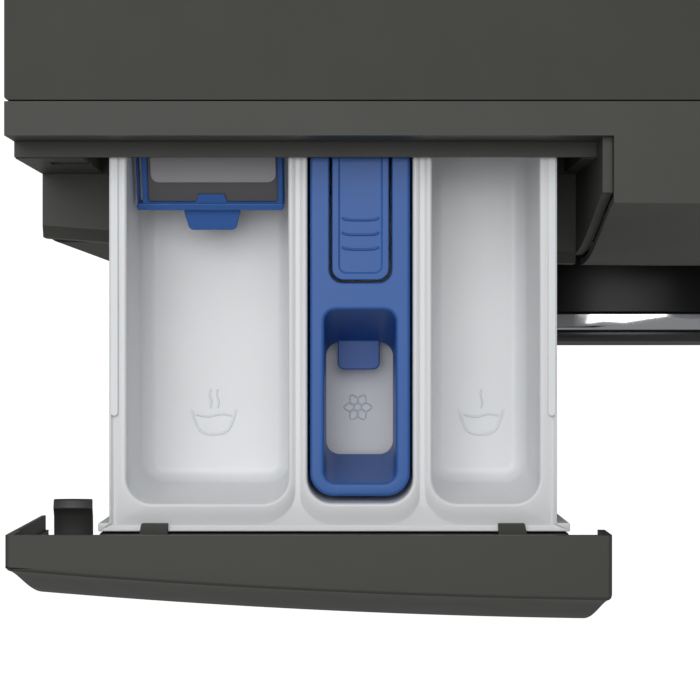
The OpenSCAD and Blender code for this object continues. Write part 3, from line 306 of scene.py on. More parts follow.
def carve(obj, *cutters):
    """Cuts solids out of an object and removes them."""
    for cutter in cutters:
        cut = obj.modifiers.new("cut", "BOOLEAN")
        cut.operation = "DIFFERENCE"
        cut.solver = "EXACT"
        cut.object = cutter
    view = bpy.context.evaluated_depsgraph_get()
    carved = bpy.data.meshes.new_from_object(obj.evaluated_get(view))
    obj.modifiers.clear()
    obj.data = carved
    for cutter in cutters:
        bpy.data.objects.remove(cutter)
    return obj


def dressed(obj, body, slot, *nodes, angle=35, rounding=0.0, weighted=True):
    """Gives an object its finish, the body it rides on and the CAD nodes it stands for."""
    obj.data.materials.clear()
    obj.data.materials.append(FINISHES[slot])
    smooth(obj, angle)
    if rounding:
        soft_edges(obj, rounding, 3, angle)
    if weighted:
        even_shading(obj)
    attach(obj, body)
    if nodes:
        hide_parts(*nodes)
    return obj


def piece(name, shell, y_shift, body, slot, *nodes, **looks):
    """Makes a shell drawn in millimetres into a finished piece."""
    return dressed(solid(name, shell, y_shift), body, slot, *nodes, **looks)


# ---- Shared surface effects ----

def effect(name, inputs, outputs):
    """An empty node group with named value or colour sockets."""
    group = bpy.data.node_groups.new(name, "ShaderNodeTree")
    for label, kind, value in inputs:
        socket = group.interface.new_socket(label, in_out="INPUT", socket_type=kind)
        socket.default_value = value
    for label, kind in outputs:
        group.interface.new_socket(label, in_out="OUTPUT", socket_type=kind)
    return group, group.nodes.new("NodeGroupInput"), group.nodes.new("NodeGroupOutput")


def math_node(tree, operation, a, b=None, c=None):
    node = tree.nodes.new("ShaderNodeMath")
    node.operation = operation
    for socket, value in zip(node.inputs, (a, b, c)):
        if value is None:
            continue
        if isinstance(value, (int, float)):
            socket.default_value = value
        else:
            tree.links.new(value, socket)
    return node.outputs[0]


def noise_node(tree, position, scale, detail=2.0, rough=0.5):
    node = tree.nodes.new("ShaderNodeTexNoise")
    node.inputs["Detail"].default_value = detail
    node.inputs["Roughness"].default_value = rough
    tree.links.new(position, node.inputs["Vector"])
    if isinstance(scale, (int, float)):
        node.inputs["Scale"].default_value = scale
    else:
        tree.links.new(scale, node.inputs["Scale"])
    return node.outputs["Fac"]


def toned(tree, colour, factor):
    """A colour multiplied by a factor that changes over the surface."""
    scale = tree.nodes.new("ShaderNodeVectorMath")
    scale.operation = "SCALE"
    tree.links.new(colour, scale.inputs[0])
    tree.links.new(factor, scale.inputs["Scale"])
    return scale.outputs[0]


VALUE, COLOUR = "NodeSocketFloat", "NodeSocketColor"


def moulded_effect():
    """Fine spark-eroded grain, soft mottling and handling marks of moulded plastic."""
    group, into, out = effect(
        "moulded_surface",
        [("Color", COLOUR, (0.5, 0.5, 0.5, 1)), ("Roughness", VALUE, 0.4), ("Grain Scale", VALUE, 900.0),
         ("Mottle", VALUE, 0.05), ("Marks", VALUE, 0.08)],
        [("Color", COLOUR), ("Roughness", VALUE), ("Height", VALUE)])
    where = group.nodes.new("ShaderNodeTexCoord").outputs["Object"]
    grain = noise_node(group, where, into.outputs["Grain Scale"], 3.0, 0.6)
    cloud = noise_node(group, where, 14.0, 3.0)
    smears = noise_node(group, where, 45.0, 4.0, 0.7)
    centred = math_node(group, "SUBTRACT", cloud, 0.5)
    factor = math_node(group, "MULTIPLY_ADD", centred, into.outputs["Mottle"], 1.0)
    group.links.new(toned(group, into.outputs["Color"], factor), out.inputs["Color"])
    marks = math_node(group, "MULTIPLY", math_node(group, "SUBTRACT", smears, 0.5), into.outputs["Marks"])
    group.links.new(math_node(group, "ADD", into.outputs["Roughness"], marks), out.inputs["Roughness"])
    group.links.new(grain, out.inputs["Height"])
    return group


def brushed_effect():
    """Long fine lines of rolled or brushed metal along one axis."""
    group, into, out = effect(
        "brushed_surface",
        [("Color", COLOUR, (0.6, 0.6, 0.6, 1)), ("Roughness", VALUE, 0.3), ("Line Scale", VALUE, 400.0),
         ("Contrast", VALUE, 0.12)],
        [("Color", COLOUR), ("Roughness", VALUE), ("Height", VALUE)])
    where = group.nodes.new("ShaderNodeTexCoord").outputs["Object"]
    stretch = group.nodes.new("ShaderNodeMapping")
    stretch.inputs["Scale"].default_value = (0.03, 1.0, 1.0)
    group.links.new(where, stretch.inputs["Vector"])
    lines = noise_node(group, stretch.outputs[0], into.outputs["Line Scale"], 4.0, 0.7)
    cloud = noise_node(group, where, 9.0, 3.0)
    both = math_node(group, "SUBTRACT", math_node(group, "ADD", lines, cloud), 1.0)
    factor = math_node(group, "MULTIPLY_ADD", both, into.outputs["Contrast"], 1.0)
    group.links.new(toned(group, into.outputs["Color"], factor), out.inputs["Color"])
    group.links.new(math_node(group, "MULTIPLY_ADD", both, into.outputs["Contrast"], into.outputs["Roughness"]),
                    out.inputs["Roughness"])
    group.links.new(lines, out.inputs["Height"])
    return group


def speckled_effect():
    """Pores and aggregate of cast concrete."""
    group, into, out = effect(
        "speckled_surface",
        [("Color", COLOUR, (0.5, 0.5, 0.5, 1)), ("Roughness", VALUE, 0.85), ("Grain Scale", VALUE, 250.0)],
        [("Color", COLOUR), ("Roughness", VALUE), ("Height", VALUE)])
    where = group.nodes.new("ShaderNodeTexCoord").outputs["Object"]
    cells = group.nodes.new("ShaderNodeTexVoronoi")
    group.links.new(where, cells.inputs["Vector"])
    group.links.new(into.outputs["Grain Scale"], cells.inputs["Scale"])
    cloud = noise_node(group, where, 30.0, 5.0, 0.7)
    factor = math_node(group, "MULTIPLY_ADD", cells.outputs["Distance"], 0.25,
                       math_node(group, "MULTIPLY_ADD", cloud, 0.4, 0.7))
    group.links.new(toned(group, into.outputs["Color"], factor), out.inputs["Color"])
    group.links.new(into.outputs["Roughness"], out.inputs["Roughness"])
    group.links.new(cells.outputs["Distance"], out.inputs["Height"])
    return group


EFFECTS = {"moulded": moulded_effect(), "brushed": brushed_effect(), "speckled": speckled_effect()}


def paint(red, green, blue):
    """A linear colour from display values of 0 to 255."""
    def linear(value):
        share = value / 255
        return share / 12.92 if share <= 0.04045 else ((share + 0.055) / 1.055) ** 2.4
    return (linear(red), linear(green), linear(blue), 1.0)


def finish(name, colour, rough, kind="moulded", bump=0.05, bump_mm=0.05, settings=None, **sockets):
    """A material whose Principled shader is fed by a shared effect."""
    material = bpy.data.materials.new(name)
    material.use_nodes = True
    tree = material.node_tree
    shader = tree.nodes["Principled BSDF"]
    surface = tree.nodes.new("ShaderNodeGroup")
    surface.node_tree = EFFECTS[kind]
    surface.inputs["Color"].default_value = colour
    surface.inputs["Roughness"].default_value = rough
    for label, value in (settings or {}).items():
        surface.inputs[label].default_value = value
    raised = tree.nodes.new("ShaderNodeBump")
    raised.inputs["Strength"].default_value = bump
    raised.inputs["Distance"].default_value = bump_mm * MM
    tree.links.new(surface.outputs["Color"], shader.inputs["Base Color"])
    tree.links.new(surface.outputs["Roughness"], shader.inputs["Roughness"])
    tree.links.new(surface.outputs["Height"], raised.inputs["Height"])
    tree.links.new(raised.outputs["Normal"], shader.inputs["Normal"])
    for label, value in sockets.items():
        shader.inputs[label.replace("_", " ")].default_value = value
    return material


FINISHES = {
    "graphite_steel": finish("graphite_steel", paint(63, 64, 59), 0.55, bump=0.25, bump_mm=0.06,
                             Specular_IOR_Level=0.25,
                             settings={"Grain Scale": 420.0, "Mottle": 0.08, "Marks": 0.1}),
    "graphite_plastic": finish("graphite_plastic", paint(66, 67, 62), 0.46, bump=0.3, bump_mm=0.03,
                               Specular_IOR_Level=0.3,
                               settings={"Grain Scale": 1600.0, "Mottle": 0.06, "Marks": 0.1}),
    "zinc_steel": finish("zinc_steel", paint(168, 171, 174), 0.38, "brushed", bump=0.1, Metallic=0.9),
    "black_gloss": finish("black_gloss", paint(14, 14, 14), 0.3, bump=0.02, Specular_IOR_Level=0.22,
                          Coat_Weight=0.08, Coat_Roughness=0.2),
    "black_plastic": finish("black_plastic", paint(38, 39, 37), 0.42, bump=0.25, bump_mm=0.03,
                            settings={"Grain Scale": 1500.0}),
    "foot_rubber": finish("foot_rubber", paint(40, 41, 41), 0.8, bump=0.5, settings={"Grain Scale": 700.0}),
    "hose_rubber": finish("hose_rubber", paint(58, 60, 62), 0.62, bump=0.3, settings={"Grain Scale": 900.0}),
    "gasket_rubber": finish("gasket_rubber", paint(118, 121, 124), 0.58, bump=0.3,
                            settings={"Grain Scale": 1100.0, "Mottle": 0.12}),
    "belt_rubber": finish("belt_rubber", paint(32, 32, 33), 0.7, bump=0.4, settings={"Grain Scale": 800.0}),
    "white_plastic": finish("white_plastic", paint(233, 234, 236), 0.34, bump=0.15, bump_mm=0.02,
                            settings={"Grain Scale": 1300.0, "Mottle": 0.03, "Marks": 0.12},
                            Subsurface_Weight=0.08, Subsurface_Scale=0.004),
    "grey_plastic": finish("grey_plastic", paint(160, 163, 165), 0.5, bump=0.3, settings={"Grain Scale": 900.0}),
    "blue_plastic": finish("blue_plastic", paint(54, 100, 172), 0.4, bump=0.15, bump_mm=0.02, Specular_IOR_Level=0.35,
                           settings={"Grain Scale": 1300.0, "Mottle": 0.05, "Marks": 0.12},
                           Subsurface_Weight=0.05, Subsurface_Scale=0.003),
    "smoke_window": finish("smoke_window", paint(112, 109, 112), 0.32, bump=0.1, Transmission_Weight=0.35,
                           settings={"Grain Scale": 1100.0, "Mottle": 0.15}),
    "frosted_field": finish("frosted_field", paint(176, 175, 180), 0.36, bump=0.15, Transmission_Weight=0.2,
                            settings={"Grain Scale": 900.0, "Mottle": 0.2}),
    "bowl_glass": finish("bowl_glass", paint(226, 233, 234), 0.03, bump=0.02, bump_mm=0.3,
                         settings={"Grain Scale": 25.0, "Mottle": 0.0, "Marks": 0.02},
                         Transmission_Weight=0.95, IOR=1.5),
    "chrome_trim": finish("chrome_trim", paint(214, 216, 219), 0.10, "brushed", bump=0.02, Metallic=1.0,
                          settings={"Contrast": 0.04, "Line Scale": 200.0}),
    "bezel_plastic": finish("bezel_plastic", paint(52, 52, 52), 0.3, bump=0.15, bump_mm=0.02,
                            settings={"Grain Scale": 1500.0}),
    "drum_steel": finish("drum_steel", paint(196, 198, 200), 0.24, "brushed", bump=0.08, Metallic=1.0),
    "cast_aluminium": finish("cast_aluminium", paint(172, 174, 176), 0.5, "speckled", bump=0.3, bump_mm=0.15,
                             Metallic=0.9, settings={"Grain Scale": 600.0}),
    "concrete": finish("concrete", paint(150, 149, 144), 0.9, "speckled", bump=0.6, bump_mm=0.8),
    "board": finish("board", paint(32, 92, 58), 0.35, bump=0.2, settings={"Grain Scale": 600.0}),
}


# ---- CAD nodes that stay: finish and rounded edges ----

EDGE_ROUNDING = {"top_panel": 0.9, "left_side_panel": 0.3, "right_side_panel": 0.3,
                 "front_panel": 0.4, "door_ring": 1.2, "door_trim": 0.8, "door_bezel": 1.2,
                 "filter_hatch": 0.5, "display_window": 0.4}


def dress_cad_nodes():
    """Gives each CAD node the finish of its material slot."""
    for entry in frame["record"]["materials"]:
        for node in SLOT_NODES[entry["slot"]]:
            obj = frame["nodes"][node]
            obj.data.materials.clear()
            obj.data.materials.append(FINISHES[entry["slot"]])
            for polygon in obj.data.polygons:
                polygon.material_index = 0


SLOT_NODES = {}
for part in frame["record"]["subparts"]:
    SLOT_NODES.setdefault(part["material_slot"], []).append(part["node"])

dress_cad_nodes()
for node, width in EDGE_ROUNDING.items():
    weld = frame["nodes"][node].modifiers.new("joined_corners", "WELD")
    weld.merge_threshold = 0.00002
    soft_edges(frame["nodes"][node], width)
    even_shading(frame["nodes"][node])


# ---- Detergent drawer ----

TRAY_X0, _, _, TRAY_X1, _, RIM_Z = edges("drawer_tray")
TRAY_X0 += 4.7
TRAY_X1 -= 5.5
TRAY_Z = edges("drawer_tray")[2]
TRAY_Y = 31.0
TRAY_END = 270.7
FLOOR_Z = TRAY_Z + 3
BAY_Y, BAY_END = TRAY_Y + 7, TRAY_END - 6
LEFT_BAY = (TRAY_X0 + 7.4, TRAY_X0 + 75.7)
MID_BAY = (TRAY_X0 + 83.8, TRAY_X0 + 128.5)
RIGHT_BAY = (TRAY_X1 - 52.9, TRAY_X1 - 7.4)
BAY_RADIUS = 10.6
STEP_Y = 72.0


def bay_outline(bay, inset_front, inset_side=0.0):
    """A bay's outline, moved in at its front and sides."""
    x0, x1 = bay
    return rectangle(x0 + inset_side, BAY_Y + inset_front, x1 - inset_side, BAY_END - 1.5 * inset_side, BAY_RADIUS, 10)


def wash_icon(shell, x, y, strokes, z, width=20.8):
    """A generic wash tub with upright strokes above it, raised from a bay's floor."""
    half = width / 2
    bowl = smooth_line([(x - half, y + 5.7), (x - 0.62 * half, y - 3.8), (x, y - 5.7),
                        (x + 0.62 * half, y - 3.8), (x + half, y + 5.7)], 5)
    shell.bead(bowl, z, 1.3, 0.7)
    shell.bead(smooth_line([(x - 0.8 * half, y + 3.3), (x - 0.25 * half, y + 2.2), (x + 0.3 * half, y + 3.4),
                            (x + 0.8 * half, y + 2.6)], 4), z, 1.1, 0.6)
    for k in range(strokes):
        at = x + (k - (strokes - 1) / 2) * 3.2
        shell.bead(smooth_line([(at, y + 5.8), (at + 0.6, y + 9), (at - 0.3, y + 12), (at + 0.3, y + 15)], 4),
                   z, 1.1, 0.6)


COLLAR_DROP = 2.2


def collar_drop(y):
    """How far the tray's top lies below the bays' rims: only near the front."""
    share = min(1.0, max(0.0, (68.0 - y) / 24.0))
    return COLLAR_DROP * share * share * (3 - 2 * share)


def bay_collar(shell, rim, bay, left, right, left_r, right_r):
    """The rounded slope round a bay's rim, which falls away towards the front. Returns its outer ring."""
    foot_y = 28.6
    contour = rounded([(left, foot_y, left_r), (right, foot_y, right_r),
                       (right, BAY_END + 2.4, 9), (left, BAY_END + 2.4, 9)], 10)
    rings = [rim]
    for share in (0.25, 0.55, 0.85, 1.0):
        outline = mixed(grown(bay, 1.3), contour, share)
        rings.append(shell.ring([(p.x, p.y, RIM_Z - collar_drop(p.y) * share ** 1.6) for p in outline]))
    shell.join(rings)
    return rings[-1]


def drawer_tray():
    """The white tray: three bays with collared rims, floor marks and a flange in front."""
    shell = Shell()
    flange_y = 26.1
    wide = [(TRAY_X0 - 4.7, flange_y, 0.6), (TRAY_X1 + 5.5, flange_y, 0.6), (TRAY_X1 + 5.5, flange_y + 3.6, 0.6),
            (TRAY_X1, flange_y + 3.6, 0.5), (TRAY_X1, TRAY_END, 6), (TRAY_X0, TRAY_END, 6),
            (TRAY_X0, flange_y + 3.6, 0.5), (TRAY_X0 - 4.7, flange_y + 3.6, 0.6)]
    rim, base = shell.wall(rounded(wide, 5), RIM_Z, TRAY_Z, 0.5, 0.5)
    shell.cap(base)
    holes = []
    left_middle = (LEFT_BAY[1] + MID_BAY[0]) / 2
    right_middle = (MID_BAY[1] + RIGHT_BAY[0]) / 2
    sides = ((LEFT_BAY, TRAY_X0 + 1.7, left_middle - 0.9, 1.5, 15),
             (MID_BAY, left_middle + 0.9, right_middle - 0.9, 13, 13),
             (RIGHT_BAY, right_middle + 0.9, TRAY_X1 - 1.7, 15, 1.5))
    for bay, left, right, left_r, right_r in sides:
        top = bay_outline(bay, 0.0)
        hole, floor = shell.well(top, bay_outline(bay, 5.0, 0.4), RIM_Z, FLOOR_Z, 1.3, 7.0, 6)
        shell.cap(floor)
        holes.append(bay_collar(shell, hole, top, left, right, left_r, right_r))
    shell.fill(rim, *holes)
    wash_icon(shell, sum(LEFT_BAY) / 2 - 1.3, 70.5, 2, FLOOR_Z)
    wash_icon(shell, sum(RIGHT_BAY) / 2 + 1.9, 70.5, 1, FLOOR_Z)
    flower = (MID_BAY[0] + MID_BAY[1]) / 2 - 0.7
    for k in range(6):
        turn = math.pi / 3 * k
        c, s = math.cos(turn), math.sin(turn)
        petal = [(flower + c * a - s * b, 77.1 + s * a + c * b)
                 for a, b in ((1.2, 0), (3.6, -1.9), (6.2, 0), (3.6, 1.9), (1.2, 0))]
        shell.bead(smooth_line(petal, 4), FLOOR_Z, 0.9, 0.6)
    # guide rails on the side rims
    for x in (TRAY_X0 + 2.2, TRAY_X1 - 2.2):
        shell.block(rectangle(x - 1.6, STEP_Y + 3, x + 1.6, TRAY_END - 8, 1.5, 4), RIM_Z + 0.5, RIM_Z - 0.2, 0.3, 0.05)
    return piece("drawer_tray_shell", shell, DRAWER_Y, "drawer", "white_plastic", "drawer_tray")


INSERT_X = (MID_BAY[0] + 1.1, MID_BAY[1] - 1.1)
INSERT_Y = BAY_Y + 2.9
INSERT_END = BAY_END - 2
INSERT_TOP = edges("softener_insert")[5]
INSERT_BASE = edges("softener_insert")[2]
POCKET_X = (INSERT_X[0] + 6.1, INSERT_X[1] - 6.1)
POCKET_Y = (INSERT_Y + 5.6, INSERT_Y + 78.9)
TONGUE_X = (edges("release_tongue")[0], edges("release_tongue")[3])
TONGUE_Y = (edges("release_tongue")[1] - DRAWER_Y, edges("release_tongue")[4] - DRAWER_Y)


def softener_insert():
    """The blue insert in the middle bay, with its open pocket."""
    shell = Shell()
    outline = rectangle(INSERT_X[0], INSERT_Y, INSERT_X[1], INSERT_END, 10, 8)
    rim, skirt_foot = shell.wall(outline, INSERT_TOP, INSERT_BASE, 1.4, 0.4)
    mouth = rectangle(POCKET_X[0], POCKET_Y[0], POCKET_X[1], POCKET_Y[1], 5, 8)
    foot = rectangle(POCKET_X[0] + 0.3, POCKET_Y[0] + 9.9, POCKET_X[1] - 0.3, POCKET_Y[1] - 13.4, 6, 8)
    pocket = []
    lip = 1.6
    for k in range(5):
        a = math.pi / 2 * k / 4
        pocket.append(shell.level(grown(mouth, lip - lip * math.sin(a)), INSERT_TOP - lip + lip * math.cos(a)))
    for share in (0.35, 0.7, 1.0):
        pocket.append(shell.level(mixed(mouth, foot, share ** 1.2),
                                  INSERT_TOP - lip + (INSERT_BASE - INSERT_TOP + lip) * share))
    outside = [shell.level(grown(mixed(mouth, foot, share), 1.6), z)
               for share, z in ((1.0, INSERT_BASE), (0.35, INSERT_TOP - 16), (0.05, INSERT_TOP - 3))]
    shell.join(pocket + outside)
    # slot round three sides of the tongue, with the lid's thickness
    gap = 1.25
    x0, x1 = TONGUE_X[0] - gap, TONGUE_X[1] + gap
    y0, y1 = TONGUE_Y[0] - gap, TONGUE_Y[1] + gap
    cut = rectangle(x0, y0, x1, y1, 5.8, 8)
    slot = [shell.level(grown(cut, 0.5), INSERT_TOP), shell.level(cut, INSERT_TOP - 0.5),
            shell.level(cut, INSERT_TOP - 3)]
    shell.join(slot)
    shell.fill(rim, pocket[0], slot[0])
    inner = rectangle(INSERT_X[0] + 1.8, INSERT_Y + 1.8, INSERT_X[1] - 1.8, INSERT_END - 1.8, 8, 8)
    under = [skirt_foot, shell.level(inner, INSERT_BASE), shell.level(inner, INSERT_TOP - 3)]
    shell.join(under)
    shell.fill(under[-1], outside[-1], slot[-1])
    # the finger tab at the pocket's rear
    tab = rounded([(POCKET_X[0] + 5.4, POCKET_Y[1] - 12.4, 0.5), (POCKET_X[0] + 5.4, POCKET_Y[1] - 25.6, 3),
                   (POCKET_X[1] - 6.2, POCKET_Y[1] - 25.6, 3), (POCKET_X[1] - 6.2, POCKET_Y[1] - 12.4, 0.5)], 5)
    shell.block(tab, INSERT_BASE + 2.6, INSERT_BASE + 0.1, 0.6, 0.3)
    return piece("softener_insert_shell", shell, DRAWER_Y, "drawer", "blue_plastic", "softener_insert")


def release_tongue():
    """The springy plate that is pressed to lift the drawer out."""
    shell = Shell()
    outline = rectangle(TONGUE_X[0], TONGUE_Y[0], TONGUE_X[1], TONGUE_Y[1], 5, 8)
    top, base = shell.wall(outline, INSERT_TOP, INSERT_TOP - 2.4, 0.5, 0.3)
    shell.cap(base)
    hollow = rectangle(TONGUE_X[0] + 2.6, TONGUE_Y[0] + 2.6, TONGUE_X[1] - 2.6, TONGUE_Y[1] - 6, 3.4, 8)
    rings = [top, shell.level(hollow, INSERT_TOP), shell.level(grown(hollow, -0.8), INSERT_TOP - 0.7)]
    shell.join(rings)
    shell.cap(rings[-1])
    middle = sum(TONGUE_X) / 2
    for k in range(3):
        y = TONGUE_Y[0] + 13.2 + 6.2 * k
        shell.bead(smooth_line([(middle - 7.9, y + 1.0), (middle - 6.4, y + 0.1), (middle - 3, y - 0.2),
                                (middle, y - 0.2), (middle + 3, y - 0.2), (middle + 6.4, y + 0.1),
                                (middle + 7.9, y + 1.0)], 3), INSERT_TOP - 0.7, 1.1, 0.9)
    return piece("release_tongue_plate", shell, DRAWER_Y, "tongue", "blue_plastic", "release_tongue")


FLAP_X = (LEFT_BAY[0] + 1.6, LEFT_BAY[1] - 2.4)
FLAP_Y = TRAY_Y + 176.7
FLAP_Z = RIM_Z - 9
FLAP_TILT = math.radians(21.3)
FLAP_LEN = 46.5


def on_flap(shell):
    """Tilts what was drawn level, with the pivot at the origin, into the flap's place."""
    c, s = math.cos(FLAP_TILT), math.sin(FLAP_TILT)
    for vertex in shell.mesh.verts:
        x, y, z = vertex.co
        vertex.co = (x, FLAP_Y + c * y - s * z, FLAP_Z + s * y + c * z)
    return shell


ARM_X = (FLAP_X[0] + 2.7, FLAP_X[1] - 0.6)
PANE_X = (ARM_X[0] + 2.4, ARM_X[1] - 2.2)


def detergent_flap():
    """A tilting frame: two arms, deep side walls, a lip bar with a finger tab and a pivot rod."""
    shell = Shell()
    x0, x1 = FLAP_X
    frame_outline = rectangle(ARM_X[0], -FLAP_LEN, ARM_X[1], 3, 1.0, 4)
    opening = rectangle(PANE_X[0], -FLAP_LEN + 3.4, PANE_X[1], -2.4, 1.5, 4)
    top, base = shell.wall(frame_outline, 1.2, -1.2, 0.4, 0.4)
    inner = [shell.level(grown(opening, 0.4), 1.2), shell.level(opening, 0.8),
             shell.level(opening, -0.8), shell.level(grown(opening, 0.4), -1.2)]
    shell.join(inner)
    shell.fill(top, inner[0])
    shell.fill(base, inner[-1])
    for x in (x0, x1 - 1.0):
        shell.block(rectangle(x, -FLAP_LEN + 1, x + 1.0, 3, 0.3, 2), -2.2, -9.0, 0.2, 0.2)
    lip = rectangle(x0, -FLAP_LEN - 0.1, x1, -FLAP_LEN + 3.1, 1.4, 5)
    shell.block(lip, 1.9, -4.2, 0.7, 0.5)
    middle = (x0 + x1) / 2 + 0.5
    tab = rounded([(middle - 13, -FLAP_LEN + 0.6, 0.4), (middle - 10.2, -FLAP_LEN - 10.3, 2.4),
                   (middle + 10.2, -FLAP_LEN - 10.3, 2.4), (middle + 13, -FLAP_LEN + 0.6, 0.4)], 6)
    shell.block(tab, -1.8, -4.2, 0.7, 0.4)
    gusset = rounded([(middle - 7, -FLAP_LEN + 3, 0.3), (middle + 7, -FLAP_LEN + 3, 0.3),
                      (middle + 5.6, -FLAP_LEN + 6.9, 0.6), (middle - 5.6, -FLAP_LEN + 6.9, 0.6)], 3)
    shell.block(gusset, 1.0, -2.2, 0.3, 0.2)
    shell.tube([(x0 - 2.4, 0, 0), (x0 + 0.4, 0, 0)], 1.45, 16)
    shell.tube([(x1 - 0.4, 0, 0), (x1 + 2.2, 0, 0)], 1.45, 16)
    shell.tube([(x0 + 0.2, 0, 0), (x1 - 0.2, 0, 0)], 2.2, 16)
    return piece("flap_frame", on_flap(shell), DRAWER_Y, "flap", "blue_plastic", "detergent_flap")


def flap_window():
    """A frosted pane with a raised field, held in the flap's frame."""
    shell = Shell()
    pane = rectangle(PANE_X[0] + 0.05, -FLAP_LEN + 3.5, PANE_X[1] - 0.05, -2.5, 1.2, 5)
    top, base = shell.wall(pane, -0.2, -0.9, 0.15, 0.15)
    shell.cap(top)
    shell.cap(base)
    piece("flap_pane", on_flap(shell), DRAWER_Y, "flap", "smoke_window", "flap_window")
    field = Shell()
    x0, x1 = PANE_X[0] + 1.4, PANE_X[1] - 0.6
    field.block(rectangle(x0, -FLAP_LEN + 12.2, x1, -12.4, 3.6, 6), 1.1, -0.2, 0.5, 0.05)
    field.block(rectangle(x0 - 0.6, -11.6, x1 - 3, -5.4, 0.8, 4), 1.5, -0.2, 0.4, 0.05)
    field.bead([(x0 - 0.8 + 2.6 * k, -5.0 - 0.22 * k, 0) for k in range(20)], 0.0, 1.4, 1.6)
    made = piece("flap_field", on_flap(field), DRAWER_Y, "flap", "frosted_field")
    return made


# ---- Drawer front ----

FRONT_X0, _, FRONT_BASE, FRONT_X1, _, FRONT_TOP = edges("drawer_front")
FRONT_REAR_Y = 27.1
FRONT_T = 3.0


def face_profile(x, depth0, depth1, rear_y, inset=0.0, lip=2.4, samples=28):
    """The open side outline of a bulging front at x: rear of the top, crease, face, lower edge, as (y, z)."""
    top = CABINET_TOP - depth0
    back = bow(x)
    points = [(rear_y, top - inset), (rear_y * 0.5, top - inset)]
    turn = 1.6
    for k in range(5):
        a = math.pi / 2 * k / 4
        points.append((back + turn + inset - turn * math.sin(a), top - inset - turn + turn * math.cos(a)))
    for k in range(1, samples + 1):
        depth = turn + inset + (depth1 - depth0 - turn - inset) * k / samples
        points.append((back - face_out(depth) + inset, top - depth))
    low_y, low_z = points[-1]
    for k in range(1, 5):
        a = math.pi / 2 * k / 4
        points.append((low_y + lip * (1 - math.cos(a)), low_z - lip * math.sin(a)))
    points.append((low_y + lip + 8, low_z - lip))
    return points


def bowed_stations(x0, x1, radius, count=24):
    """Places along a bowed front with their inset, so that both ends are rounded."""
    steps = 5
    spots = []
    for k in range(steps + 1):
        a = math.pi / 2 * k / steps
        spots.append((x0 + radius * (1 - math.cos(a)), radius * (1 - math.sin(a))))
    inner = [(x0 + radius + (x1 - x0 - 2 * radius) * k / count, 0.0) for k in range(1, count)]
    return spots + inner + [(x0 + x1 - x, inset) for x, inset in reversed(spots)]


def front_block(inset, rear_y, x0, x1, end_r, base_lift=0.0):
    """The full bulging block of the drawer front, moved in by an inset."""
    shell = Shell()
    depth0 = CABINET_TOP - FRONT_TOP
    depth1 = CABINET_TOP - FRONT_BASE - 2.4
    rings = []
    for x, end in bowed_stations(x0, x1, end_r):
        line = face_profile(x, depth0, depth1, rear_y, inset + end)
        low = line[-1][1] + base_lift
        line = [(y, max(z, low)) for y, z in line[:-1]] + [(rear_y, low)]
        rings.append(shell.ring([(x, y, z) for y, z in line]))
    shell.join(rings)
    shell.cap(rings[0])
    shell.cap(rings[-1])
    return shell


def drawer_front():
    """A bowed moulding with end walls, hollow behind."""
    body = solid("drawer_front_shell", front_block(0.0, FRONT_REAR_Y, FRONT_X0, FRONT_X1, 2.0), DRAWER_Y)
    inside = front_block(FRONT_T, FRONT_REAR_Y + 5, FRONT_X0 + FRONT_T, FRONT_X1 - FRONT_T, 1.0, FRONT_T)
    hollow = solid("hollow", inside, DRAWER_Y)
    sill = Shell()
    sill.block(rectangle(FRONT_X0 + FRONT_T, -6, FRONT_X1 - FRONT_T, FRONT_REAR_Y + 5, 1, 2),
               FRONT_BASE + FRONT_T + 1.5, FRONT_BASE - 5, 0.1, 0.1)
    sill_cut = solid("sill", sill, DRAWER_Y)
    # below the top, the right end wall stops short of the rear edge, and the left one is thinned there
    cuts = ((FRONT_X1 - 50, 16, FRONT_X1 + 5, 0.3, RIM_Z + 2), (FRONT_X0 + 1.7, 20.5, FRONT_X0 + 4, 0.2, RIM_Z + 5))
    rear = Shell()
    for x0, y0, x1, corner, top in cuts:
        rear.block(rectangle(x0, y0, x1, FRONT_REAR_Y + 6, corner, 2), top, FRONT_BASE - 5, 0.1, 0.1)
    carve(body, hollow, sill_cut, solid("end_cuts", rear, DRAWER_Y))
    return dressed(body, "drawer", "graphite_plastic", "drawer_front", rounding=0.5)


def drawer_carrier():
    """The plate inside the front that the tray's flange is clipped against, with its ribs."""
    shell = Shell()
    shell.block(rectangle(TRAY_X0 - 4.6, 20.6, TRAY_X1 + 5.4, 25.4, 1.2, 4), RIM_Z - 3, TRAY_Z + 4, 0.8, 0.6)
    for x in (TRAY_X0 + 30, (TRAY_X0 + TRAY_X1) / 2, TRAY_X1 - 33):
        shell.block(rectangle(x, 5, x + 2.6, 21.5, 0.6, 2), RIM_Z - 6, TRAY_Z + 8, 0.4, 0.4)
    return piece("drawer_carrier", shell, DRAWER_Y, "drawer", "black_plastic")


def drawer_clips():
    """Slanted clips that lock the tray's flange to the drawer front."""
    shell = Shell()
    y0, y1 = 20.0, 29.6
    for x, side in ((TRAY_X0 + 11.6, 1), (TRAY_X1 - 11.6, -1)):
        outline = [(x, y0, 0.4), (x + 13.6 * side, y0, 0.4), (x + 13.3 * side, y1, 0.5), (x + 2.2 * side, y1, 0.5)]
        if side < 0:
            outline.reverse()
        shell.block(rounded(outline, 4), RIM_Z + 1.6, RIM_Z - 12, 0.4, 0.3)
    return piece("drawer_clips", shell, DRAWER_Y, "drawer", "graphite_plastic")


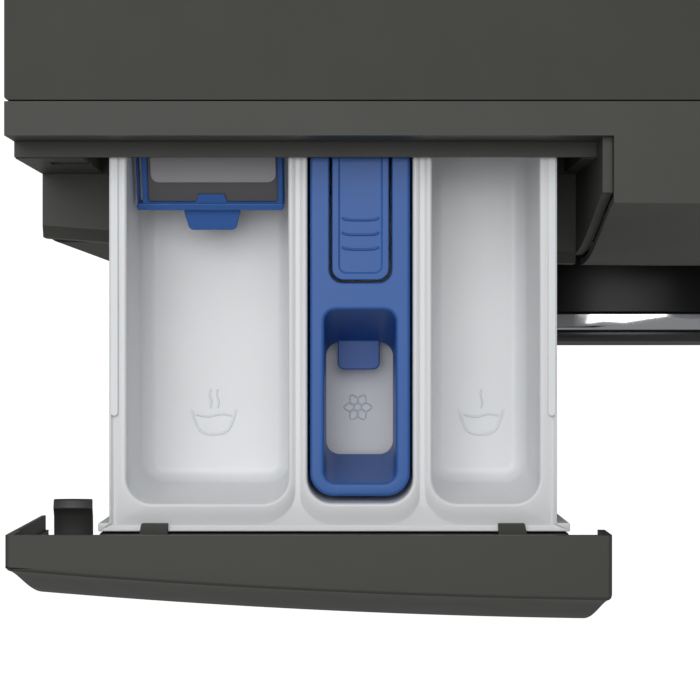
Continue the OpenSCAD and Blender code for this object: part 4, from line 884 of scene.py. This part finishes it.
def drawer_latch():
    """The flexing black tongue whose hook holds the drawer shut."""
    x0, _, z0, x1, _, _ = edges("drawer_latch")
    shell = Shell()
    rings = []
    sag = 1.6
    sections = ((2, 0, 3.2), (14, 0, 3.2), (24, 0.1, 3.0), (31, 0.2, 2.8), (34.5, 2.2, 3.2), (37.5, 1.2, 2.2),
                (38.3, 0.6, 1.4))
    for y, lift, thick in sections:
        ring = []
        for k in range(9):
            share = k / 8
            dip = sag * (1 - (2 * share - 1) ** 2)
            ring.append((x0 + (x1 - x0) * share, y, z0 + 5.2 + lift - dip))
        for k in range(8, -1, -1):
            share = k / 8
            dip = sag * (1 - (2 * share - 1) ** 2)
            ring.append((x0 + (x1 - x0) * share, y, z0 + 5.2 + lift - thick - dip))
        rings.append(shell.ring(ring))
    shell.join(rings)
    shell.cap(rings[0])
    shell.cap(rings[-1])
    return piece("drawer_latch_tongue", shell, DRAWER_Y, "drawer", "black_plastic", "drawer_latch", rounding=0.4)


drawer_tray()
softener_insert()
release_tongue()
detergent_flap()
flap_window()
drawer_front()
drawer_carrier()
drawer_clips()
drawer_latch()


# ---- Controls ----

JOINTS = {joint["name"]: joint for joint in frame["record"]["behaviour"]["joints"]}
SLOT_OF = {part["node"]: part["material_slot"] for part in frame["record"]["subparts"]}
KNOB_R = 26.0
BUTTON_R = 8.0
BUTTONS = ("power", "temperature", "spin", "start")
DIAL_MARKS = 16
DIAL_MARK_R = 33.0


def front_of(node, axis, centre):
    """A place on a node's front plane: across, up and outward from its axis, in millimetres."""
    out = Vector(axis).normalized()
    across = Vector((0, 0, 1)).cross(out).normalized()
    up = out.cross(across)
    obj = frame["nodes"][node]
    centre = Vector(centre)
    reach = max((obj.matrix_world @ vertex.co - centre).dot(out) for vertex in obj.data.vertices)
    origin = (centre + out * reach) / MM
    return lambda a, b, h: origin + across * a + up * b + out * h


def program_knob():
    """A fluted knob with a dished face, a hollow back and a spindle."""
    joint = JOINTS["knob_turn"]
    place = front_of("program_knob", joint["axis"], joint["pos_m"])
    sides, flutes = 288, 48
    profile = [(0, -1.5, 0), (12, -1.45, 0), (19, -1.2, 0), (22.3, -0.5, 0), (23.6, -0.06, 0), (24.6, 0, 0.2),
               (25.5, -0.5, 0.6), (KNOB_R, -1.6, 1), (KNOB_R, -18.6, 1), (25.6, -20.2, 0.4), (25, -21, 0),
               (KNOB_R - 3, -21, 0), (KNOB_R - 3, -4, 0), (9, -4, 0), (9, -20.5, 0), (4, -20.5, 0), (4, -46, 0),
               (3.4, -46.5, 0)]
    shell = Shell()
    rings = []
    for radius, height, fluted in profile:
        ring = []
        for k in range(sides):
            turn = 2 * math.pi * k / sides
            r = max(radius, 0.4) - 0.45 * fluted * (0.5 + 0.5 * math.cos(flutes * turn))
            ring.append(place(r * math.cos(turn), r * math.sin(turn), height))
        rings.append(shell.ring(ring))
    shell.join(rings)
    shell.cap(rings[0])
    shell.cap(rings[-1])
    piece("knob_body", shell, 0.0, "knob", SLOT_OF["program_knob"], "program_knob", angle=50)
    mark = Shell()
    rows = []
    for height, spread in ((-1.6, 1.0), (-0.75, 1.0), (-0.55, 0.7)):
        rows.append(mark.ring([place(x * spread, 18 + y * (5.2 if spread == 1.0 else 5.0), height)
                               for x, y in ((-0.8, -1), (0.8, -1), (0.8, 1), (-0.8, 1))]))
    mark.join(rows)
    mark.cap(rows[0])
    mark.cap(rows[-1])
    return piece("knob_mark", mark, 0.0, "knob", "black_plastic")


def push_button(name):
    """A dished round cap on a flanged stem."""
    axis = -Vector(JOINTS[name + "_press"]["axis"])
    low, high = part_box(name + "_button")
    place = front_of(name + "_button", axis, (low + high) / 2)
    profile = [(0.3, -0.55), (3, -0.5), (5.6, -0.28), (6.9, 0), (7.5, -0.1), (7.9, -0.5), (BUTTON_R, -1.1),
               (BUTTON_R, -8.0), (8.2, -8.2), (9.7, -8.3), (10, -8.7), (10, -12.8), (9.6, -13.2), (2, -13.2)]
    shell = Shell()
    shell.turned(profile, place, 72)
    return piece(name + "_cap", shell, 0.0, name, SLOT_OF[name + "_button"], name + "_button", angle=50)


def on_console(x, z, proud=0.0):
    """A point on the console's bulging face."""
    return (x, bow(x) - face_out(CABINET_TOP - z) - proud, z)


def dial_marks():
    """Raised marks around the knob and a short raised line above each button."""
    joint = JOINTS["knob_turn"]
    x0, z0 = joint["pos_m"][0] / MM, joint["pos_m"][2] / MM
    shell = Shell()
    for k in range(DIAL_MARKS):
        turn = 2 * math.pi * k / DIAL_MARKS
        mark = 3.4 if k % 4 == 0 else 2.0
        path = [on_console(x0 + r * math.sin(turn), z0 + r * math.cos(turn), 0.05)
                for r in (DIAL_MARK_R, DIAL_MARK_R + mark / 2, DIAL_MARK_R + mark)]
        shell.tube(path, 0.42, 8)
    for name in BUTTONS:
        low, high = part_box(name + "_button")
        x, z = (low.x + high.x) / 2 / MM, high.z / MM + 6
        shell.tube([on_console(x - 2.2, z, 0.05), on_console(x, z, 0.05), on_console(x + 2.2, z, 0.05)], 0.55, 8)
    return piece("dial_marks", shell, CREASE_Y, "cabinet", "white_plastic")


program_knob()
for name in BUTTONS:
    push_button(name)
dial_marks()


# ---- Camera, light and floor ----

WORLD_LIGHT = 0.3
OVERHEAD_POWER = 43.0
STRIP_POWER = 0.35
TRIM_POWER = 5.0


def area_light(name, place, target, width, height, power):
    data = bpy.data.lights.new(name, "AREA")
    data.shape = "RECTANGLE"
    data.size, data.size_y, data.energy = width, height, power
    lamp = bpy.data.objects.new(name, data)
    bpy.context.scene.collection.objects.link(lamp)
    lamp.location = place
    lamp.rotation_euler = (Vector(target) - Vector(place)).to_track_quat("-Z", "Y").to_euler()
    lamp.visible_camera = False
    return lamp


def only(lamp, name, *lit):
    """Lets a lamp light nothing but a few objects."""
    group = bpy.data.collections.new(name)
    for obj in lit:
        group.objects.link(obj)
    lamp.light_linking.receiver_collection = group


def white_to_camera(tree, shade, seen, output):
    """Mixes a plain bright tone over a shader where the camera looks at it directly."""
    bright = tree.nodes.new("ShaderNodeEmission" if output.name == "Material Output" else "ShaderNodeBackground")
    bright.inputs["Color"].default_value = (1, 1, 1, 1)
    bright.inputs["Strength"].default_value = 1.0 / seen + 0.02
    ray = tree.nodes.new("ShaderNodeLightPath")
    share = math_node(tree, "MULTIPLY", ray.outputs["Is Camera Ray"], seen)
    mix = tree.nodes.new("ShaderNodeMixShader")
    tree.links.new(share, mix.inputs[0])
    tree.links.new(shade, mix.inputs[1])
    tree.links.new(bright.outputs[0], mix.inputs[2])
    tree.links.new(mix.outputs[0], output.inputs["Surface"])


def studio():
    """Soft light over a pale floor, with one lamp for the console alone and one for the door trim alone."""
    scene = bpy.context.scene
    world = bpy.data.worlds.new("studio")
    world.use_nodes = True
    air = world.node_tree
    air.nodes["Background"].inputs["Color"].default_value = (1, 1, 1, 1)
    air.nodes["Background"].inputs["Strength"].default_value = WORLD_LIGHT
    white_to_camera(air, air.nodes["Background"].outputs[0], 1.0, air.nodes["World Output"])
    scene.world = world
    scene.view_settings.view_transform = "Standard"
    low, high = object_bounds()
    middle = (low + high) / 2
    front, top = low.y, high.z
    area_light("overhead", (middle.x - 0.5, middle.y + 0.5, top + 2.4),
               (middle.x - 0.1, front + 0.2, top), 2.2, 2.2, OVERHEAD_POWER)
    strip = area_light("console_strip", (middle.x + 0.33, front - 0.12, top - 0.47),
                       (middle.x, front + 0.2, top - 0.05), 0.5, 0.04, STRIP_POWER)
    only(strip, "lit_console", frame["nodes"]["console"])
    glint = area_light("trim_strip", (middle.x + 0.62, front - 0.2, top - 0.6),
                       (middle.x, front + 0.2, top - 0.2), 1.0, 0.3, TRIM_POWER)
    only(glint, "lit_trim", frame["nodes"]["door_trim"])
    floor = bpy.data.meshes.new("floor")
    reach = 8.0
    floor.from_pydata([(-reach, -reach, 0), (reach, -reach, 0), (reach, reach, 0), (-reach, reach, 0)], [],
                      [(0, 1, 2, 3)])
    ground = bpy.data.objects.new("floor", floor)
    scene.collection.objects.link(ground)
    pale = bpy.data.materials.new("pale_floor")
    pale.use_nodes = True
    tree = pale.node_tree
    shader = tree.nodes["Principled BSDF"]
    shader.inputs["Base Color"].default_value = (0.55, 0.55, 0.55, 1)
    shader.inputs["Roughness"].default_value = 0.9
    white_to_camera(tree, shader.outputs[0], 0.85, tree.nodes["Material Output"])
    floor.materials.append(pale)
    ground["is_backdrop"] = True


def camera():
    """Looks straight down on the open drawer."""
    data = bpy.data.cameras.new("camera")
    data.sensor_width = 36
    data.lens = 100.8
    cam = bpy.data.objects.new("camera", data)
    bpy.context.scene.collection.objects.link(cam)
    tray_middle = (TRAY_X0 + TRAY_X1) / 2
    cam.location = Vector((tray_middle + 7.15, CREASE_Y - 59.8, CABINET_TOP + 800)) * MM
    bpy.context.scene.camera = cam


camera()
studio()
